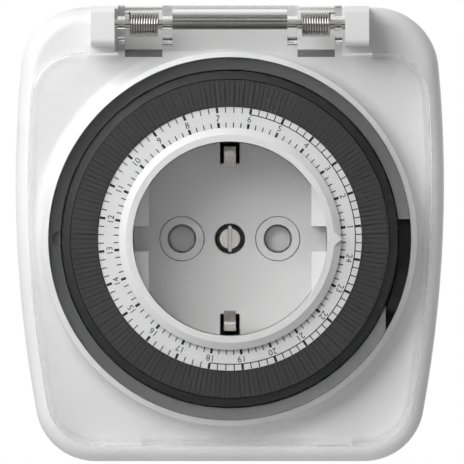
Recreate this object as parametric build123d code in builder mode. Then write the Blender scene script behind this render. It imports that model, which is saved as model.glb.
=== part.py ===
"""Plug in timer switch: a mechanical day timer with an earthed socket, a clear hinged lid and a plug.

Frame: +X to the right of someone facing the dial, +Z up, +Y towards the wall.
The origin is the centre of the plug boss's end face. A "height" below is a distance in front of
that face, towards -Y, and every profile seen from the front is drawn as (X, Z).
"""

import os
from math import acos, cos, degrees, pi, radians, sin, sqrt, tan

from build123d import *

# ---------------------------------------------------------------- housing
BACK_HEIGHT = 17.5  # rear face of the housing above the boss's end
REAR_DEPTH = 12.5  # rear face up to the parting line of the two shells
FRONT_DEPTH = 16.0  # parting line up to the floor of the dial chamber
FACE_RISE = 9.0  # dial chamber's floor up to the front face beside the collar
SIDE_MARGIN = 2.9  # housing outside the lid at the widest point of the sides
TOP_MARGIN = 0.1  # housing above the hinge barrel
BOTTOM_MARGIN = 3.55  # housing below the lid
WIDEST_LEVEL = 11.0  # height above the centre where the sides are widest
SIDE_RADIUS = 250.0  # bow of the sides
TOP_CORNER = 13.0
BOTTOM_CORNER = 12.0
WALL = 2.0
EDGE_ROUND = 3.4  # rounding of the front face's edge
REAR_ROUND = 3.0
SHELL_DRAFT = 1.2  # degrees
DECK_THICKNESS = 1.5
RECESS_DROP = 2.0  # recess behind the hinge, below the front face
PAST = 0.1  # how far a cut or a joined solid runs past a face

# ---------------------------------------------------------------- socket well and its bezel
WELL_RADIUS = 19.2
WELL_WALL = 1.7
WELL_DEPTH = 17.5  # bezel's top down to the floor
FLOOR_THICKNESS = 2.0
FLOOR_LEDGE = 1.6  # thickness of the ledge under the floor
FLOOR_LEDGE_WIDTH = 1.2
FLANGE_WIDTH = 3.1  # flange that sits under the deck
FLANGE_THICKNESS = 1.4
GUIDE_DEPTH = 3.1  # guide flats in from the wall
GUIDE_SLOT = 5.0
GUIDE_HEIGHT = 11.8
BEZEL_GAP = 0.3  # bezel flange above the scale
BEZEL_RISE = 1.1
BEZEL_COVER = 0.5  # bezel over the scale's inner edge
BEZEL_CONE = 1.4
BEZEL_EDGE = 0.35
BEZEL_SKIRT = 0.85
BEZEL_SKIRT_LENGTH = 4.4
POINTER_HALF = 1.8
POINTER_REACH = 0.25  # pointer's tip outside the bezel
POINTER_ROOT = 0.5

# ---------------------------------------------------------------- dial, from the well outwards
DIAL_PLAY = 0.1  # dial around the well
DIAL_DEPTH = 12.1  # deck up to the dial's top
DIAL_FLOAT = 0.3  # gap between the dial's gear and the deck
SCALE_STEP = 0.4  # scale's inner edge outside the dial's bore
SCALE_WIDTH = 4.6
SCALE_THICKNESS = 1.0
TAPPET_ROOM = 5.5  # groove between the scale and the rim
RIM_WIDTH = 1.6
RIM_FALL = 0.8  # slope of the rim's top
WEB_SINK = 4.3  # tappet groove's floor below the dial's top
DIAL_WEB = 1.2
DIAL_GAP = 0.3  # dial to the surround ring
HOURS = 24
STEPS_PER_HOUR = 4
DIAL_PHASE = -9.3  # angle of the 24 o'clock mark, from +X towards +Z

# ---------------------------------------------------------------- tappets
TAPPET_GAP = 0.14  # between neighbours
TAPPET_END_GAP = 0.15  # to the scale and to the rim
TAPPET_HEAD = 2.1  # thickness of the visible head
TAPPET_PROUD = 0.3  # head above the dial's rim
STEM_WIDTH = 1.0
STEM_LENGTH = 3.0
STEM_GAP = 0.1
STEM_PROUD = 1.1  # stem below the dial's web

# ---------------------------------------------------------------- surround ring, override and collar
SURROUND_WIDTH = 2.3
SURROUND_SINK = 0.3  # ring's highest edge below the dial's top
SURROUND_DEPTH = 5.8
SURROUND_FALL = 0.9  # slope of the ring's top, down towards the dial
SURROUND_FIT = 0.1
DIMPLE_RADIUS = 1.6
DIMPLE_DEPTH = 1.3
OVERRIDE_TOP = 3.9  # the rectangular window cut in the surround ring
OVERRIDE_BOTTOM = -18.2
OVERRIDE_OVERLAP = 2.7  # window's inner side inside the ring
OVERRIDE_BASE = 2.0
SLIDER_START = -24.0  # angles of the slider's ends at rest
SLIDER_END = -10.0
SLIDER_GAP = 0.15
SLIDER_LIFT = 0.1
SLIDER_RIBS = 6
RIB_TURN = 0.7  # degrees
RIB_DEPTH = 0.5
COLLAR_WALL = 1.1
COLLAR_PROUD = 1.4  # collar above the dial's top
COLLAR_FALL = 0.8  # slope of the collar's top
COLLAR_FLARE = 2.4  # radius of the hollow curve from the collar down to the face
LEDGE_WIDTH = 1.4  # ledge that carries the surround ring

# ---------------------------------------------------------------- plug
PIN_SPACING = 19.0
PIN_RADIUS = 2.4
PIN_LENGTH = 19.0
PIN_TIP = 1.1
PIN_SEAT = 0.1  # pin's shoulder below the boss's end face
PIN_ROOT_RADIUS = 2.2
PIN_HEAD_RADIUS = 3.4
PIN_HEAD = 1.4
PIN_FIT = 0.03
PIN_WASHER = 0.2  # pin's head above the rear floor
BOSS_RADIUS = 18.4
BOSS_ROUND = 1.0
BOSS_NOTCH = 5.4
BOSS_NOTCH_DEPTH = 2.9
SIDE_STRIP_WIDTH = 4.0
SIDE_STRIP_METAL = 0.8
SIDE_STRIP_START = 1.0
SIDE_STRIP_END = 1.5  # strip's inner end short of the housing's rear face
GASKET_WIDTH = 4.5
GASKET_THICKNESS = 1.6
GASKET_EDGE = 0.5

# ---------------------------------------------------------------- socket contacts
HOLE_RADIUS = 2.75
HOLE_RING = 4.5
HOLE_RING_DEPTH = 0.3
HOLE_RING_WIDTH = 0.22
LEAF_LENGTH = 14.0
LEAF_WIDTH = 6.0
LEAF_THICKNESS = 0.8
LEAF_GRIP = 4.4  # space between the leaves
LIVE_LIFT = 1.6  # live contact above the live pin's head, to insulate them
BAR_WIDTH = 4.0
BAR_METAL = 0.8
EARTH_WIDTH = 2.3
EARTH_METAL = 0.6
EARTH_SLOT = 3.9
EARTH_SLOT_DEPTH = 4.3  # in from the wall
EARTH_RISE = 1.6  # clip's upright part, in from the wall
EARTH_REACH = 5.3  # clip's inward bend, in from the wall
EARTH_STRAP = 8.5  # strap below the floor
EARTH_BEND = 2.0  # these heights are above the floor
EARTH_NIP = 7.0
EARTH_TIP = 10.5
EARTH_LIP = 1.2  # curled end of the clip
EARTH_EYE = 3.4

# ---------------------------------------------------------------- centre screw and shutter
RECESS_RADIUS = 3.0
RECESS_DEPTH = 1.5
SCREW_HEAD = 2.0
SCREW_RIM = 2.75
SCREW_RIM_THICKNESS = 0.3
SCREW_HEAD_THICKNESS = 1.0
SCREW_SHANK = 1.25
SCREW_FIT = 0.05
SLOT_WIDTH = 0.75
SLOT_DEPTH = 0.5
SCREW_END = 1.0  # screw below the earth strap
POST_RADIUS = 2.1
POST_LENGTH = 3.6
SHUTTER_THICKNESS = 1.0
SHUTTER_GAP = 0.3
SHUTTER_PAD = 3.5
SHUTTER_HUB = 4.0
SHUTTER_ARM = 4.0
SHUTTER_FIT = 0.05
PAD_GROOVE = 0.3  # groove around each pad, the part inside the hole's edge
PAD_GROOVE_OVER = 0.25  # part of the groove under the floor
PAD_GROOVE_DEPTH = 0.6
SHUTTER_SPRING_LENGTH = 2.0
SHUTTER_SPRING_PLAY = 0.5  # around the post
SHUTTER_SPRING_WIRE = 0.2
SHUTTER_SPRING_TURNS = 3

# ---------------------------------------------------------------- gear train and motor
GEAR_REACH = 3.0  # dial gear's pitch circle outside the dial's bore
PRESSURE_ANGLE = 20.0
DIAL_TEETH = 96
IDLER_PINION_TEETH = 12
IDLER_WHEEL_TEETH = 40
MOTOR_PINION_TEETH = 12
BACKLASH = 0.06  # taken off each tooth's thickness
GEAR_WIDTH = 1.8
HUB_WALL = 0.6  # dial's hub inside the roots of its gear
AXLE_RADIUS = 1.0
AXLE_FIT = 0.05
AXLE_END = 0.3  # axles beyond their gears
SLEEVE_RADIUS = 2.0
SLEEVE_GAP = 0.6
IDLER_ANGLE = 180.0
MOTOR_PINION_ANGLE = -90.0
PINION_EXTRA = 0.6  # motor pinion wider than the wheel
PLATE_LIFT = 3.0  # gear plate above the parting line
PLATE_THICKNESS = 1.2
PLATE_SIDE_GAP = 3.8  # plate to the housing's wall
PLATE_MARGIN = 3.6  # plate around the idler's axle
PLATE_EDGE = 1.5  # plate below the motor
PLATE_CUT = 11.5
PLATE_ROUND = 2.0
PILLAR_RADIUS = 2.0
PILLAR_INSET = 2.3
MOTOR_RADIUS = 12.0
MOTOR_THICKNESS = 11.0
MOTOR_EDGE = 1.0
MOTOR_OFFSET_X = 5.5  # motor's middle from its shaft
MOTOR_OFFSET_Z = -8.5

# ---------------------------------------------------------------- switch and trip lever
LEVER_ARM = 13.5  # nose down to the pivot
PIVOT_LIFT = 1.3  # pivot above the deck
LEVER_THICKNESS = 1.4
LEVER_WIDTH = 3.6
LEVER_GAP = 0.3
LEVER_END = 1.8  # lever beyond the pivot
NOSE_LENGTH = 2.6
NOSE_ROUND = 0.9
PIVOT_RADIUS = 0.8
PIVOT_FIT = 0.05
EAR_THICKNESS = 1.5
EAR_LENGTH = 4.2
EAR_COVER = 0.9  # ears above the lever
SWITCH_LENGTH = 17.0
SWITCH_WIDTH = 6.2
SWITCH_DEPTH = 10.0
SWITCH_ROUND = 0.6
SWITCH_GAP = 0.2  # switch below the deck
SWITCH_CENTRE = -7.0  # below the nose
PLUNGER_PLACE = -6.0
PLUNGER_RADIUS = 1.2
PLUNGER_FIT = 0.05
PLUNGER_SEAT = 1.6  # plunger's end inside the switch
PLUNGER_ROOM = 2.0  # hole below the plunger
PLUNGER_EDGE = 0.4
TERMINAL_WIDTH = 2.8
TERMINAL_LENGTH = 5.0
TERMINAL_METAL = 0.6
TERMINAL_INSET = 2.4

# ---------------------------------------------------------------- lid and hinge
LID_SIDE_GAP = 1.5  # collar to the lid's side walls
LID_BOTTOM_GAP = 2.5  # collar to the lid's bottom wall
LID_ROOM = 2.0  # collar up to the lid's plate
LID_TOP_CORNER = 9.0
LID_BOTTOM_CORNER = 10.0
LID_PLATE = 1.5
LID_SKIRT = 1.4
LID_SEAT_GAP = 0.5
LID_LIP = 1.3
LID_EDGE = 0.8
GRIP_HALF = 17.4  # finger grip in the middle of the bottom wall
NOTCH_END = 24.0  # notches on both sides of the grip
HINGE_OFFSET = 5.3  # hinge pin above the collar
LID_TOP_DROP = 5.6  # lid's top edge below the hinge pin
BARREL_RADIUS = 3.8
BARREL_PLAY = 0.05
HINGE_PIN_RADIUS = 1.0
PIN_END_COVER = 1.8  # hinge blocks beyond the pin's ends
MIDDLE_HALF = 11.3
KNUCKLE_WIDTH = 2.0
WINDOW_WIDTH = 7.35
TONGUE_SIDE = 1.45
WINDOW_ABOVE = 2.5  # these are from the pin's level
WINDOW_BELOW = 4.9
BAR_ABOVE = 0.8
BLOCK_BELOW = 4.2
BLOCK_ABOVE = 3.6
BLOCK_GAP = 0.6
BLOCK_WIDTH = 4.7
BLOCK_ROUND = 1.4
SPRING_GAP = 0.6  # spring to the knuckle
SPRING_LENGTH = 6.0
SPRING_RADIUS = 2.25
SPRING_WIRE = 0.25
SPRING_TURNS = 11

# ---------------------------------------------------------------- fasteners and seals
UPPER_INSET_X = 9.4  # housing screws in from the outline
UPPER_INSET_Z = 10.6
LOWER_INSET_X = 10.4
LOWER_INSET_Z = 11.1
POST_OUTER = 3.2
HOUSING_SCREW_HEAD = 2.7
HOUSING_SCREW_HEAD_THICKNESS = 1.6
HOUSING_SCREW_LENGTH = 22.0
CROSS_LENGTH = 3.4
CROSS_WIDTH = 0.8
CROSS_DEPTH = 0.9
HEAD_DEPTH = 2.4
SEAL_WIDTH = 1.0
SEAL_DEPTH = 1.0
SEAL_FIT = 0.1
SMALL_SCREW = 0.8
SMALL_SCREW_HEAD = 1.5
SMALL_HEAD_THICKNESS = 0.8
SMALL_SCREW_LENGTH = 4.0
SMALL_HOLE_DEPTH = 6.0
WELL_SCREWS = 3

# ---------------------------------------------------------------- radii, worked out from the well outwards
WELL_OUTER = WELL_RADIUS + WELL_WALL
WELL_FLANGE = WELL_OUTER + FLANGE_WIDTH
DIAL_BORE = WELL_OUTER + DIAL_PLAY
SCALE_INNER = DIAL_BORE + SCALE_STEP
SCALE_OUTER = SCALE_INNER + SCALE_WIDTH
BEZEL_OUTER = SCALE_INNER + BEZEL_COVER
BEZEL_FLANGE = BEZEL_OUTER - BEZEL_CONE
RIM_INNER = SCALE_OUTER + TAPPET_ROOM
DIAL_RADIUS = RIM_INNER + RIM_WIDTH
TAPPET_INNER = SCALE_OUTER + TAPPET_END_GAP
TAPPET_OUTER = RIM_INNER - TAPPET_END_GAP
TAPPET_MIDDLE = (TAPPET_INNER + TAPPET_OUTER) / 2
SURROUND_INNER = DIAL_RADIUS + DIAL_GAP
SURROUND_OUTER = SURROUND_INNER + SURROUND_WIDTH
COLLAR_INNER = SURROUND_OUTER + SURROUND_FIT
COLLAR_OUTER = COLLAR_INNER + COLLAR_WALL
LEDGE_INNER = COLLAR_INNER - LEDGE_WIDTH

# ---------------------------------------------------------------- levels of the front view
HINGE_LEVEL = COLLAR_OUTER + HINGE_OFFSET
LID_TOP = HINGE_LEVEL - LID_TOP_DROP
LID_BOTTOM = COLLAR_OUTER + LID_BOTTOM_GAP + LID_SKIRT
LID_HALF_WIDTH = COLLAR_OUTER + LID_SIDE_GAP + LID_SKIRT
HALF_WIDTH = LID_HALF_WIDTH + SIDE_MARGIN
TOP_EDGE = HINGE_LEVEL + BARREL_RADIUS + TOP_MARGIN
BOTTOM_EDGE = LID_BOTTOM + BOTTOM_MARGIN
BLOCK_BOTTOM = HINGE_LEVEL - BLOCK_BELOW
BLOCK_TOP = HINGE_LEVEL + BLOCK_ABOVE
WINDOW_TOP = HINGE_LEVEL + WINDOW_ABOVE
WINDOW_BOTTOM = HINGE_LEVEL - WINDOW_BELOW
BAR_LEVEL = HINGE_LEVEL + BAR_ABOVE
WINDOW_INNER = MIDDLE_HALF + KNUCKLE_WIDTH
WINDOW_OUTER = WINDOW_INNER + WINDOW_WIDTH
TONGUE_HALF = WINDOW_OUTER + TONGUE_SIDE
BLOCK_INNER = TONGUE_HALF + BLOCK_GAP
BLOCK_OUTER = BLOCK_INNER + BLOCK_WIDTH
HINGE_PIN_HALF = BLOCK_OUTER - PIN_END_COVER

# ---------------------------------------------------------------- heights, worked out from the back forwards
SPLIT_HEIGHT = BACK_HEIGHT + REAR_DEPTH
REAR_FLOOR = BACK_HEIGHT + WALL
DECK_TOP = SPLIT_HEIGHT + FRONT_DEPTH
DECK_BOTTOM = DECK_TOP - DECK_THICKNESS
FACE_HEIGHT = DECK_TOP + FACE_RISE
HINGE_RECESS = FACE_HEIGHT - RECESS_DROP
DIAL_TOP = DECK_TOP + DIAL_DEPTH
DIAL_WEB_TOP = DIAL_TOP - WEB_SINK
STEM_BOTTOM = DIAL_WEB_TOP - DIAL_WEB - STEM_PROUD
TAPPET_TOP = DIAL_TOP + TAPPET_PROUD
SURROUND_TOP = DIAL_TOP - SURROUND_SINK
LEDGE_TOP = SURROUND_TOP - SURROUND_DEPTH
COLLAR_TOP = DIAL_TOP + COLLAR_PROUD
WELL_TOP = DIAL_TOP + BEZEL_GAP
BEZEL_TOP = WELL_TOP + BEZEL_RISE
BEZEL_SEAT = WELL_TOP - BEZEL_SKIRT_LENGTH
WELL_FLOOR = BEZEL_TOP - WELL_DEPTH
FLOOR_BOTTOM = WELL_FLOOR - FLOOR_THICKNESS
WELL_BOTTOM = FLOOR_BOTTOM - FLOOR_LEDGE
SCREW_SEAT = WELL_FLOOR - RECESS_DEPTH
POST_BOTTOM = FLOOR_BOTTOM - POST_LENGTH
SHUTTER_TOP = FLOOR_BOTTOM - SHUTTER_GAP
EARTH_STRAP_HEIGHT = WELL_FLOOR - EARTH_STRAP
PIVOT_HEIGHT = DECK_TOP + PIVOT_LIFT
LEVER_TOP = PIVOT_HEIGHT + LEVER_THICKNESS / 2
LEVER_BOTTOM = PIVOT_HEIGHT - LEVER_THICKNESS / 2
PLUNGER_TOP = LEVER_BOTTOM - LEVER_GAP / 2
PLATE_HEIGHT = SPLIT_HEIGHT + PLATE_LIFT
PLATE_TOP = PLATE_HEIGHT + PLATE_THICKNESS
WHEEL_BOTTOM = PLATE_TOP + DIAL_FLOAT
WHEEL_TOP = WHEEL_BOTTOM + GEAR_WIDTH
GEAR_BOTTOM = DECK_TOP + DIAL_FLOAT
GEAR_TOP = GEAR_BOTTOM + GEAR_WIDTH
LID_UNDERSIDE = COLLAR_TOP + LID_ROOM
LID_FRONT = LID_UNDERSIDE + LID_PLATE
LID_SEAT = FACE_HEIGHT + LID_SEAT_GAP
HINGE_HEIGHT = LID_FRONT - BARREL_RADIUS

# ---------------------------------------------------------------- gears, lever and plug
TAPPETS = HOURS * STEPS_PER_HOUR
STEP_ANGLE = 360 / TAPPETS
TRIP_RADIUS = TAPPET_MIDDLE  # the lever's nose lies under the tappets, at the time pointer
PIN_X = PIN_SPACING / 2
DIAL_PITCH = DIAL_BORE + GEAR_REACH
MODULE = 2 * DIAL_PITCH / DIAL_TEETH
IDLER_DISTANCE = MODULE * (DIAL_TEETH + IDLER_PINION_TEETH) / 2
MOTOR_DISTANCE = MODULE * (IDLER_WHEEL_TEETH + MOTOR_PINION_TEETH) / 2
IDLER_X = IDLER_DISTANCE * cos(radians(IDLER_ANGLE))
IDLER_Z = IDLER_DISTANCE * sin(radians(IDLER_ANGLE))
PINION_X = IDLER_X + MOTOR_DISTANCE * cos(radians(MOTOR_PINION_ANGLE))
PINION_Z = IDLER_Z + MOTOR_DISTANCE * sin(radians(MOTOR_PINION_ANGLE))
MOTOR_X = PINION_X + MOTOR_OFFSET_X
MOTOR_Z = PINION_Z + MOTOR_OFFSET_Z

# radius against height, for everything turned about the dial's axis
TURNED = Plane(origin=(0, 0, 0), x_dir=(1, 0, 0), z_dir=(0, 0, -1))


def front(height):
    """Plane seen from the front at a height: local x is X, local y is Z, and extruding comes forward."""
    return Plane.XZ.offset(height)


def along_x(x):
    """Plane across the hinge: local x is the height above the boss, local y is Z."""
    return Plane(origin=(x, 0, 0), x_dir=(0, -1, 0), z_dir=(-1, 0, 0))


def across(height, level, x=0.0):
    """Place of a cylinder that lies along X."""
    return Location((x, -height, level), (0, 90, 0))


def shield(half_width, top, bottom, top_corner, bottom_corner):
    """Outline with flat top and bottom edges, bowed sides and rounded corners."""
    top_half = half_width - SIDE_RADIUS + sqrt(SIDE_RADIUS**2 - (top - WIDEST_LEVEL) ** 2)
    bottom_half = half_width - SIDE_RADIUS + sqrt(SIDE_RADIUS**2 - (bottom + WIDEST_LEVEL) ** 2)
    with BuildLine() as edge_line:
        Line((-top_half, top), (top_half, top))
        ThreePointArc((top_half, top), (half_width, WIDEST_LEVEL), (bottom_half, -bottom))
        Line((bottom_half, -bottom), (-bottom_half, -bottom))
        ThreePointArc((-bottom_half, -bottom), (-half_width, WIDEST_LEVEL), (-top_half, top))
    make_face(edge_line.edges())
    fillet(vertices().group_by(Axis.Y)[-1], top_corner)
    fillet(vertices().group_by(Axis.Y)[0], bottom_corner)


def housing_outline(inset=0.0):
    """The housing's outline, moved inwards by a wall."""
    shield(HALF_WIDTH - inset, TOP_EDGE - inset, BOTTOM_EDGE - inset,
           TOP_CORNER - inset, BOTTOM_CORNER - inset)


def lid_outline(inset=0.0):
    """The lid's outline, moved inwards by a wall."""
    shield(LID_HALF_WIDTH - inset, LID_TOP - inset, LID_BOTTOM - inset,
           LID_TOP_CORNER - inset, LID_BOTTOM_CORNER - inset)


def ring(outer, inner):
    """A flat ring in the current sketch."""
    Circle(outer)
    Circle(inner, mode=Mode.SUBTRACT)


def point_at(radius, angle):
    """Point of the front view at a radius and an angle from +X towards +Z."""
    return (radius * cos(radians(angle)), radius * sin(radians(angle)))


def arc_band(inner, outer, start, end):
    """Part of a flat ring between two angles."""
    middle = (start + end) / 2
    with BuildLine() as band_line:
        ThreePointArc(point_at(outer, start), point_at(outer, middle), point_at(outer, end))
        Line(point_at(outer, end), point_at(inner, end))
        ThreePointArc(point_at(inner, end), point_at(inner, middle), point_at(inner, start))
        Line(point_at(inner, start), point_at(outer, start))
    make_face(band_line.edges())


def gear_outline(teeth, centre_x=0.0, centre_z=0.0, phase=0.0):
    """Gear outline through points of the involute flanks, less the backlash.

    The flank of a large gear is nearly straight, so only a small one gets a point at its pitch circle.
    """
    pitch = MODULE * teeth / 2
    base = pitch * cos(radians(PRESSURE_ANGLE))
    tip = pitch + 0.95 * MODULE
    root = pitch - 1.25 * MODULE
    thickness = pi * MODULE / 2 - BACKLASH
    pitch_involute = tan(radians(PRESSURE_ANGLE)) - radians(PRESSURE_ANGLE)

    def half_angle(radius):
        pressure = acos(min(1.0, base / radius))
        return degrees(thickness / (2 * pitch) + pitch_involute - (tan(pressure) - pressure))

    radii = (root, tip) if root > base else (root, pitch, tip)
    points = []
    for tooth in range(teeth):
        middle = phase + 360 * tooth / teeth
        points += [point_at(radius, middle - half_angle(radius)) for radius in radii]
        points += [point_at(radius, middle + half_angle(radius)) for radius in reversed(radii)]
    with BuildLine() as gear_line:
        Polyline(*[(x + centre_x, z + centre_z) for x, z in points], close=True)
    make_face(gear_line.edges())


def save(part, name):
    """Label a finished piece and write its file."""
    part.label = name
    export_step(part, f"parts/{name}.step")


os.makedirs("parts", exist_ok=True)
upper_x = HALF_WIDTH - UPPER_INSET_X
upper_z = TOP_EDGE - UPPER_INSET_Z
lower_x = HALF_WIDTH - LOWER_INSET_X
lower_z = LOWER_INSET_Z - BOTTOM_EDGE
screw_places = [(-upper_x, upper_z), (upper_x, upper_z), (-lower_x, lower_z), (lower_x, lower_z)]

# ================================================================ front housing
lever_slot_top = NOSE_LENGTH / 2 + LEVER_GAP
lever_slot_bottom = -LEVER_ARM - LEVER_END - LEVER_GAP
pivot_length = LEVER_WIDTH + 2 * (LEVER_GAP + EAR_THICKNESS)
with BuildPart() as front_housing:
    with BuildSketch(front(SPLIT_HEIGHT)):
        housing_outline()
    extrude(amount=FACE_HEIGHT - SPLIT_HEIGHT, taper=SHELL_DRAFT)
    fillet(front_housing.faces().sort_by(Axis.Y)[0].edges(), EDGE_ROUND)
    # collar with a sloped rim, which rises from the face in a hollow curve
    with BuildSketch(TURNED):
        with BuildLine():
            foot = COLLAR_OUTER + COLLAR_FLARE
            Polyline((LEDGE_INNER, DECK_TOP), (LEDGE_INNER, COLLAR_TOP), (COLLAR_INNER, COLLAR_TOP),
                     (COLLAR_OUTER, COLLAR_TOP - COLLAR_FALL), (COLLAR_OUTER, FACE_HEIGHT + COLLAR_FLARE))
            RadiusArc((COLLAR_OUTER, FACE_HEIGHT + COLLAR_FLARE), (foot, FACE_HEIGHT), -COLLAR_FLARE)
            Polyline((foot, FACE_HEIGHT), (foot, DECK_TOP), (LEDGE_INNER, DECK_TOP))
        make_face()
    revolve(axis=Axis.Y)
    # recess behind the hinge
    with BuildSketch(front(HINGE_RECESS)):
        with Locations((0, (BLOCK_BOTTOM + TOP_EDGE) / 2)):
            Rectangle(2 * BLOCK_INNER, TOP_EDGE - BLOCK_BOTTOM + WALL)
        Circle(COLLAR_OUTER + BLOCK_GAP, mode=Mode.SUBTRACT)
    extrude(amount=COLLAR_TOP - HINGE_RECESS, mode=Mode.SUBTRACT)
    # hollow below the deck, the dial chamber, and the hollow corners beside the collar
    with BuildSketch(front(SPLIT_HEIGHT)):
        housing_outline(WALL)
    extrude(amount=DECK_BOTTOM - SPLIT_HEIGHT, taper=SHELL_DRAFT, mode=Mode.SUBTRACT)
    with BuildSketch(front(DECK_BOTTOM)):
        housing_outline(1.5 * WALL)
        Circle(COLLAR_OUTER + WALL, mode=Mode.SUBTRACT)
    extrude(amount=HINGE_RECESS - WALL - DECK_BOTTOM, mode=Mode.SUBTRACT)
    with BuildSketch(front(DECK_TOP)):
        Circle(LEDGE_INNER)
    extrude(amount=COLLAR_TOP - DECK_TOP, mode=Mode.SUBTRACT)
    with BuildSketch(front(LEDGE_TOP)):
        Circle(COLLAR_INNER)
    extrude(amount=COLLAR_TOP - LEDGE_TOP, mode=Mode.SUBTRACT)
    # openings in the deck for the well, the idler's sleeve and the trip lever
    with BuildSketch(front(DECK_BOTTOM)):
        Circle(WELL_OUTER + SURROUND_FIT)
        with Locations((IDLER_X, IDLER_Z)):
            Circle(SLEEVE_RADIUS + SLEEVE_GAP)
        with Locations((TRIP_RADIUS, (lever_slot_top + lever_slot_bottom) / 2)):
            Rectangle(LEVER_WIDTH + 2 * LEVER_GAP, lever_slot_top - lever_slot_bottom)
    extrude(amount=DECK_THICKNESS, mode=Mode.SUBTRACT)
    # ears that carry the trip lever's pivot
    ear_offset = (LEVER_WIDTH + EAR_THICKNESS) / 2 + LEVER_GAP
    with BuildSketch(front(DECK_BOTTOM)):
        with Locations((TRIP_RADIUS - ear_offset, -LEVER_ARM), (TRIP_RADIUS + ear_offset, -LEVER_ARM)):
            Rectangle(EAR_THICKNESS, EAR_LENGTH)
    extrude(amount=LEVER_TOP + EAR_COVER - DECK_BOTTOM)
    with Locations(across(PIVOT_HEIGHT, -LEVER_ARM, TRIP_RADIUS)):
        Cylinder(PIVOT_RADIUS + PIVOT_FIT, pivot_length + PAST, mode=Mode.SUBTRACT)
    # screw posts
    with BuildSketch(front(SPLIT_HEIGHT)):
        with Locations(*screw_places):
            Circle(POST_OUTER)
    extrude(amount=HINGE_RECESS - WALL - SPLIT_HEIGHT)
    with BuildSketch(front(SPLIT_HEIGHT)):
        with Locations(*screw_places):
            Circle(SCREW_SHANK + SCREW_FIT)
    extrude(amount=DECK_BOTTOM - SPLIT_HEIGHT, mode=Mode.SUBTRACT)
    # rounded hinge blocks with blind holes for the pin
    for side in (-1, 1):
        with BuildSketch(along_x(side * (BLOCK_INNER + BLOCK_OUTER) / 2)):
            with Locations(((HINGE_RECESS + LID_FRONT) / 2, (BLOCK_BOTTOM + BLOCK_TOP) / 2)):
                Rectangle(LID_FRONT - HINGE_RECESS, BLOCK_TOP - BLOCK_BOTTOM)
            fillet(vertices().group_by(Axis.X)[-1], BLOCK_ROUND)
        extrude(amount=(BLOCK_OUTER - BLOCK_INNER) / 2, both=True)
    with Locations(across(HINGE_HEIGHT, HINGE_LEVEL)):
        Cylinder(HINGE_PIN_RADIUS + SCREW_FIT, 2 * HINGE_PIN_HALF + PAST, mode=Mode.SUBTRACT)
save(front_housing.part, "front_housing")

# ================================================================ rear housing with the plug boss
notch_x = BOSS_RADIUS - BOSS_NOTCH_DEPTH / 2
with BuildPart() as rear_housing:
    with BuildSketch(front(SPLIT_HEIGHT)):
        housing_outline()
    extrude(amount=BACK_HEIGHT - SPLIT_HEIGHT, taper=2 * SHELL_DRAFT)
    fillet(rear_housing.faces().sort_by(Axis.Y)[-1].edges(), REAR_ROUND)
    with BuildSketch(front(REAR_FLOOR)):
        housing_outline(1.3 * WALL)
    extrude(amount=SPLIT_HEIGHT - REAR_FLOOR, mode=Mode.SUBTRACT)
    with BuildSketch(Plane.XZ):
        Circle(BOSS_RADIUS)
    extrude(amount=BACK_HEIGHT + PAST)
    fillet(rear_housing.faces().sort_by(Axis.Y)[-1].edges(), BOSS_ROUND)
    # guide notches at the sides and grooves for the earth strips
    with BuildSketch(Plane.XZ):
        with Locations((-notch_x, 0), (notch_x, 0)):
            Rectangle(BOSS_NOTCH_DEPTH, BOSS_NOTCH)
        with Locations((0, -BOSS_RADIUS), (0, BOSS_RADIUS)):
            Rectangle(SIDE_STRIP_WIDTH + 2 * SURROUND_FIT, 4 * SIDE_STRIP_METAL)
    extrude(amount=BACK_HEIGHT - SIDE_STRIP_START / 2, mode=Mode.SUBTRACT)
    # screw posts with recessed heads
    with BuildSketch(front(REAR_FLOOR)):
        with Locations(*screw_places):
            Circle(POST_OUTER)
    extrude(amount=SPLIT_HEIGHT - REAR_FLOOR)
    with BuildSketch(front(BACK_HEIGHT)):
        with Locations(*screw_places):
            Circle(SCREW_SHANK + SCREW_FIT)
    extrude(amount=SPLIT_HEIGHT - BACK_HEIGHT, mode=Mode.SUBTRACT)
    with BuildSketch(front(BACK_HEIGHT)):
        with Locations(*screw_places):
            Circle(HOUSING_SCREW_HEAD + SURROUND_FIT)
    extrude(amount=HEAD_DEPTH, mode=Mode.SUBTRACT)
    # stepped holes through the boss, a seat for each pin's shoulder and a hole for its root
    with BuildSketch(Plane.XZ):
        with Locations((-PIN_X, 0), (PIN_X, 0)):
            Circle(PIN_RADIUS + PIN_FIT)
    extrude(amount=PIN_SEAT, mode=Mode.SUBTRACT)
    with BuildSketch(Plane.XZ):
        with Locations((-PIN_X, 0), (PIN_X, 0)):
            Circle(PIN_ROOT_RADIUS + PIN_FIT)
    extrude(amount=REAR_FLOOR + PAST, mode=Mode.SUBTRACT)
save(rear_housing.part, "rear_housing")

# ================================================================ seals
with BuildPart() as housing_seal:
    with BuildSketch(front(SPLIT_HEIGHT)):
        housing_outline(WALL + SEAL_FIT)
    extrude(amount=SEAL_DEPTH)
    with BuildSketch(front(SPLIT_HEIGHT)):
        housing_outline(WALL + SEAL_FIT + SEAL_WIDTH)
    extrude(amount=SEAL_DEPTH, mode=Mode.SUBTRACT)
save(housing_seal.part, "housing_seal")

gasket_inner = BOSS_RADIUS + SEAL_FIT
with BuildPart() as plug_gasket:
    with BuildSketch(front(BACK_HEIGHT - GASKET_THICKNESS)):
        ring(gasket_inner + GASKET_WIDTH, gasket_inner)
    extrude(amount=GASKET_THICKNESS)
    chamfer(plug_gasket.edges().filter_by(GeomType.CIRCLE).group_by(Axis.Y)[-1], GASKET_EDGE)
save(plug_gasket.part, "plug_gasket")

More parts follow.
